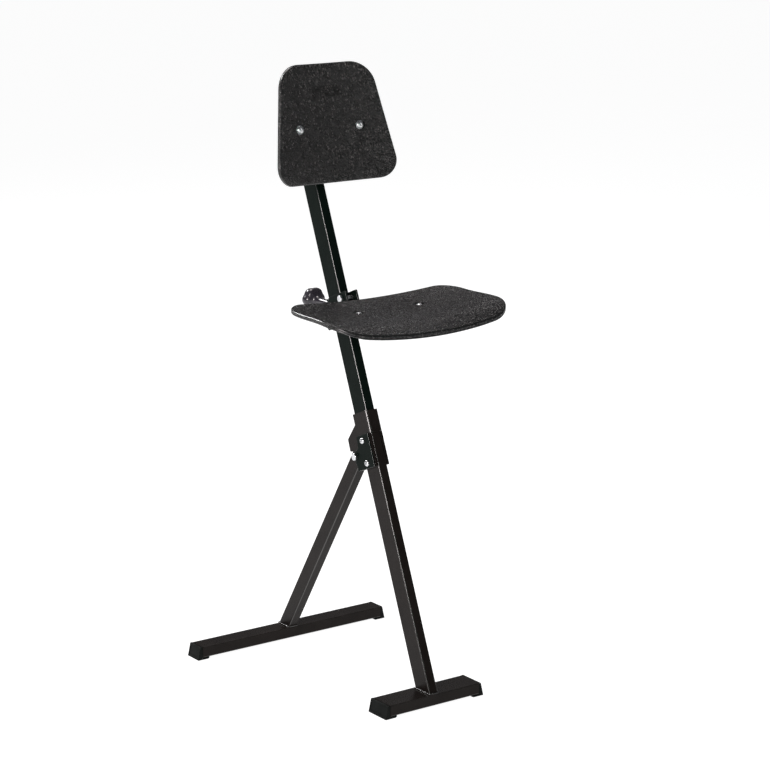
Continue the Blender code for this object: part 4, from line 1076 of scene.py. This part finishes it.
def make_backrest_mount():
    pivot = POST.inverted() @ joints["backrest_tilt"]
    v, u = pivot.y, pivot.z
    inner = POST_WIDTH / 2 + GAP
    outer = inner + BACK_ARM_THICK
    outline = filleted(
        [
            ((0.018, u - 0.036), 0.002),
            ((0.018, u + 0.030), 0.002),
            ((-0.020, u + 0.030), 0.002),
            *[(point, 0) for point in arc((v, u), 0.013, 70, 290, 18)],
            ((-0.020, u - 0.036), 0.002),
        ],
        steps=4,
    )
    for side, name in SIDES:
        plate = side_plate(outline, side, inner, outer)
        holes = [side_hole(SCREW_RADIUS, 0, u + height) for height in BACK_ARM_SCREWS]
        holes.append(side_hole(BOLT_RADIUS, v, u))
        node = f"backrest_arm_{name}"
        piece(f"{node}_plate", plate, "frame", "frame", [node], POST, bevel=EDGE_BREAK, cuts=holes)
    for height, name in zip(BACK_ARM_SCREWS, ("upper", "lower")):
        nodes = (f"backrest_arm_screw_{name}", f"backrest_arm_nut_{name}")
        cross_bolt(f"backrest_arm_{name}", "button", outer + GAP, POST, 0, u + height, "frame", nodes)
    face = outer + GAP + BACK_PLATE_THICK + GAP
    nodes = ("backrest_pivot_bolt", "backrest_pivot_nut")
    cross_bolt("backrest_pivot", "hex", face, POST, v, u, "frame", nodes)


def make_backrest():
    """Shell, plate and screws, drawn about the tilt joint. The shell's face is toward -Y."""
    body = "backrest"
    front = -BACK_PIVOT_BEHIND
    plate_front = front + BACK_PLATE_BEHIND
    plate_back = plate_front + BACK_PLATE_THICK
    seat = front + BACK_SCREW_SINK
    shape = (back_outline(), (0.0, 0.0), lambda x, _: -back_depth(x), BACK_THICK, 0.0034, 0.0026)
    shell = shell_skin(*shape, lambda x, height, depth: (x, front - depth, height))
    bosses, cuts = [], []
    for side, _ in SIDES:
        place = (side * BACK_SCREW_X, 0, 0, TO_Y)
        boss = [(front + 0.004, 0.0135), (front + BACK_THICK + 0.001, 0.0116), (plate_front - GAP, 0.011)]
        bosses.append(moved(turned(boss), *place))
        cut = [(front - 0.02, 0.0100), (front - 0.0008, 0.0100), (front - 0.0001, 0.0095), (seat, 0.0092)]
        cut += [(seat, SHELL_HOLE_RADIUS), (front + 0.03, SHELL_HOLE_RADIUS)]
        cuts.append(moved(turned(cut), *place))
    panel = filleted([(corner, 0.0025) for corner in BLANK_PANEL], 4)
    panel_floor = front + back_depth(0.0) + 0.0003
    cuts.append(slab(panel, panel_floor - 0.02, panel_floor, "Y"))
    piece("backrest_shell_moulding", shell, "seat", body, ["backrest_shell"], BACK, adds=bosses, cuts=cuts)

    plate_half = BACK_SCREW_X + 0.016
    plate = slab(rounded_rectangle(2 * plate_half, 0.032, 0.006, 8), plate_front, plate_back, "Y")
    ear_inner = POST_WIDTH / 2 + GAP + BACK_ARM_THICK + GAP
    ear_root = plate_front + 0.001
    outline = [(ear_root, 0.012), (ear_root, -0.012)] + arc((0, 0), 0.010, -80, 80, 16)
    ears = [side_plate(outline, side, ear_inner, ear_inner + BACK_PLATE_THICK) for side, _ in SIDES]
    cuts = [side_hole(BOLT_RADIUS, 0, 0)]
    for side, _ in SIDES:
        hole = cylinder(SHELL_HOLE_RADIUS, -0.01, 0.01)
        cuts.append(moved(hole, side * BACK_SCREW_X, plate_front, 0, TO_Y))
    nodes = ["backrest_plate"]
    piece("backrest_eared_plate", plate, "frame", body, nodes, BACK, bevel=0.0004, adds=ears, cuts=cuts)

    washer, head = (0.0086, 0.0014, 0.0004), (0.0068, 0.0034, 0.0023, 0.0020)
    level = seat - GAP
    for side, name in SIDES:
        place = at(BACK, side * BACK_SCREW_X, level, 0, Matrix.Rotation(math.pi / 2, 4, "X"))
        nut_place = at(BACK, side * BACK_SCREW_X, plate_back + GAP, 0, TO_Y)
        tip = level - plate_back - 0.0085
        shell_screw("backrest", "dome", name, body, place, tip, washer, "zinc", head, nut_place)


# Hidden nodes that stay as CAD --------


def dress_kept_nodes():
    kept = {
        "front_post_insert": "zinc",
        "leg_pivot_bush": "zinc",
        "backrest_pivot_spacer": "zinc",
        "clamp_pressure_pad": "cap",
    }
    for name, look in kept.items():
        for slot in frame["nodes"][name].material_slots:
            slot.material = looks[look]


# Stage --------


def make_stage():
    white = bpy.data.materials.new("pale_floor")
    white.use_nodes = True
    shader = white.node_tree.nodes["Principled BSDF"]
    finish = {
        "Base Color": (0.30, 0.30, 0.30, 1.0),
        "Roughness": 0.9,
        "Specular IOR Level": 0.0,
        "Emission Color": (1.0, 1.0, 1.0, 1.0),
        "Emission Strength": 0.94,
    }
    for name, value in finish.items():
        shader.inputs[name].default_value = value
    bm = bmesh.new()
    bmesh.ops.create_circle(bm, cap_ends=True, radius=40.0, segments=64)
    mesh = bpy.data.meshes.new("floor")
    bm.to_mesh(mesh)
    bm.free()
    mesh.materials.append(white)
    floor = add_object("floor", mesh)
    floor.location = (0, 0, cad_low.z - 0.0002)


def add_light(name, location, target, size, power, colour):
    data = bpy.data.lights.new(name, "AREA")
    data.shape = "RECTANGLE"
    data.size, data.size_y = size
    data.energy = power
    data.color = colour
    made = add_object(name, data)
    made.location = location
    made.rotation_euler = (Vector(target) - Vector(location)).to_track_quat("-Z", "Y").to_euler()


def make_lights():
    middle = (0, 0, 0.6)
    add_light("key_box", (-3.2, -1.9, 1.75), middle, (1.2, 1.4), 125, (1.0, 0.94, 0.93))
    add_light("front_fill", (0.4, -3.9, 1.7), middle, (0.8, 0.8), 11, (0.70, 1.0, 0.86))
    add_light("rim_box", (-1.0, 3.6, 3.1), middle, (1.4, 0.8), 130, (1.0, 1.0, 1.0))
    add_light("top_box", (0.2, 0.9, 3.2), middle, (1.2, 1.2), 48, (1.0, 0.95, 0.94))
    add_light("back_box", (2.2, 3.1, 1.9), middle, (1.2, 0.8), 1.6, (1.0, 0.95, 0.94))
    world = bpy.data.worlds.new("studio")
    world.use_nodes = True
    background = world.node_tree.nodes["Background"]
    background.inputs["Color"].default_value = (0.95, 0.97, 1.0, 1.0)
    background.inputs["Strength"].default_value = 0.10
    bpy.context.scene.world = world


def make_camera():
    data = bpy.data.cameras.new("camera")
    data.lens = 114.68
    data.sensor_width = 36.0
    camera = add_object("camera", data)
    camera.location = (-2.58499, -3.69578, 1.63816)
    camera.rotation_euler = (math.radians(76.64), 0.0, math.radians(-35.69))
    bpy.context.scene.camera = camera
    bpy.context.scene.view_settings.view_transform = "Standard"


make_feet()
make_post()
make_bracket()
make_leg()
make_seat_carrier()
make_seat()
make_knob()
make_backrest_mount()
make_backrest()
dress_kept_nodes()
make_stage()
make_lights()
make_camera()
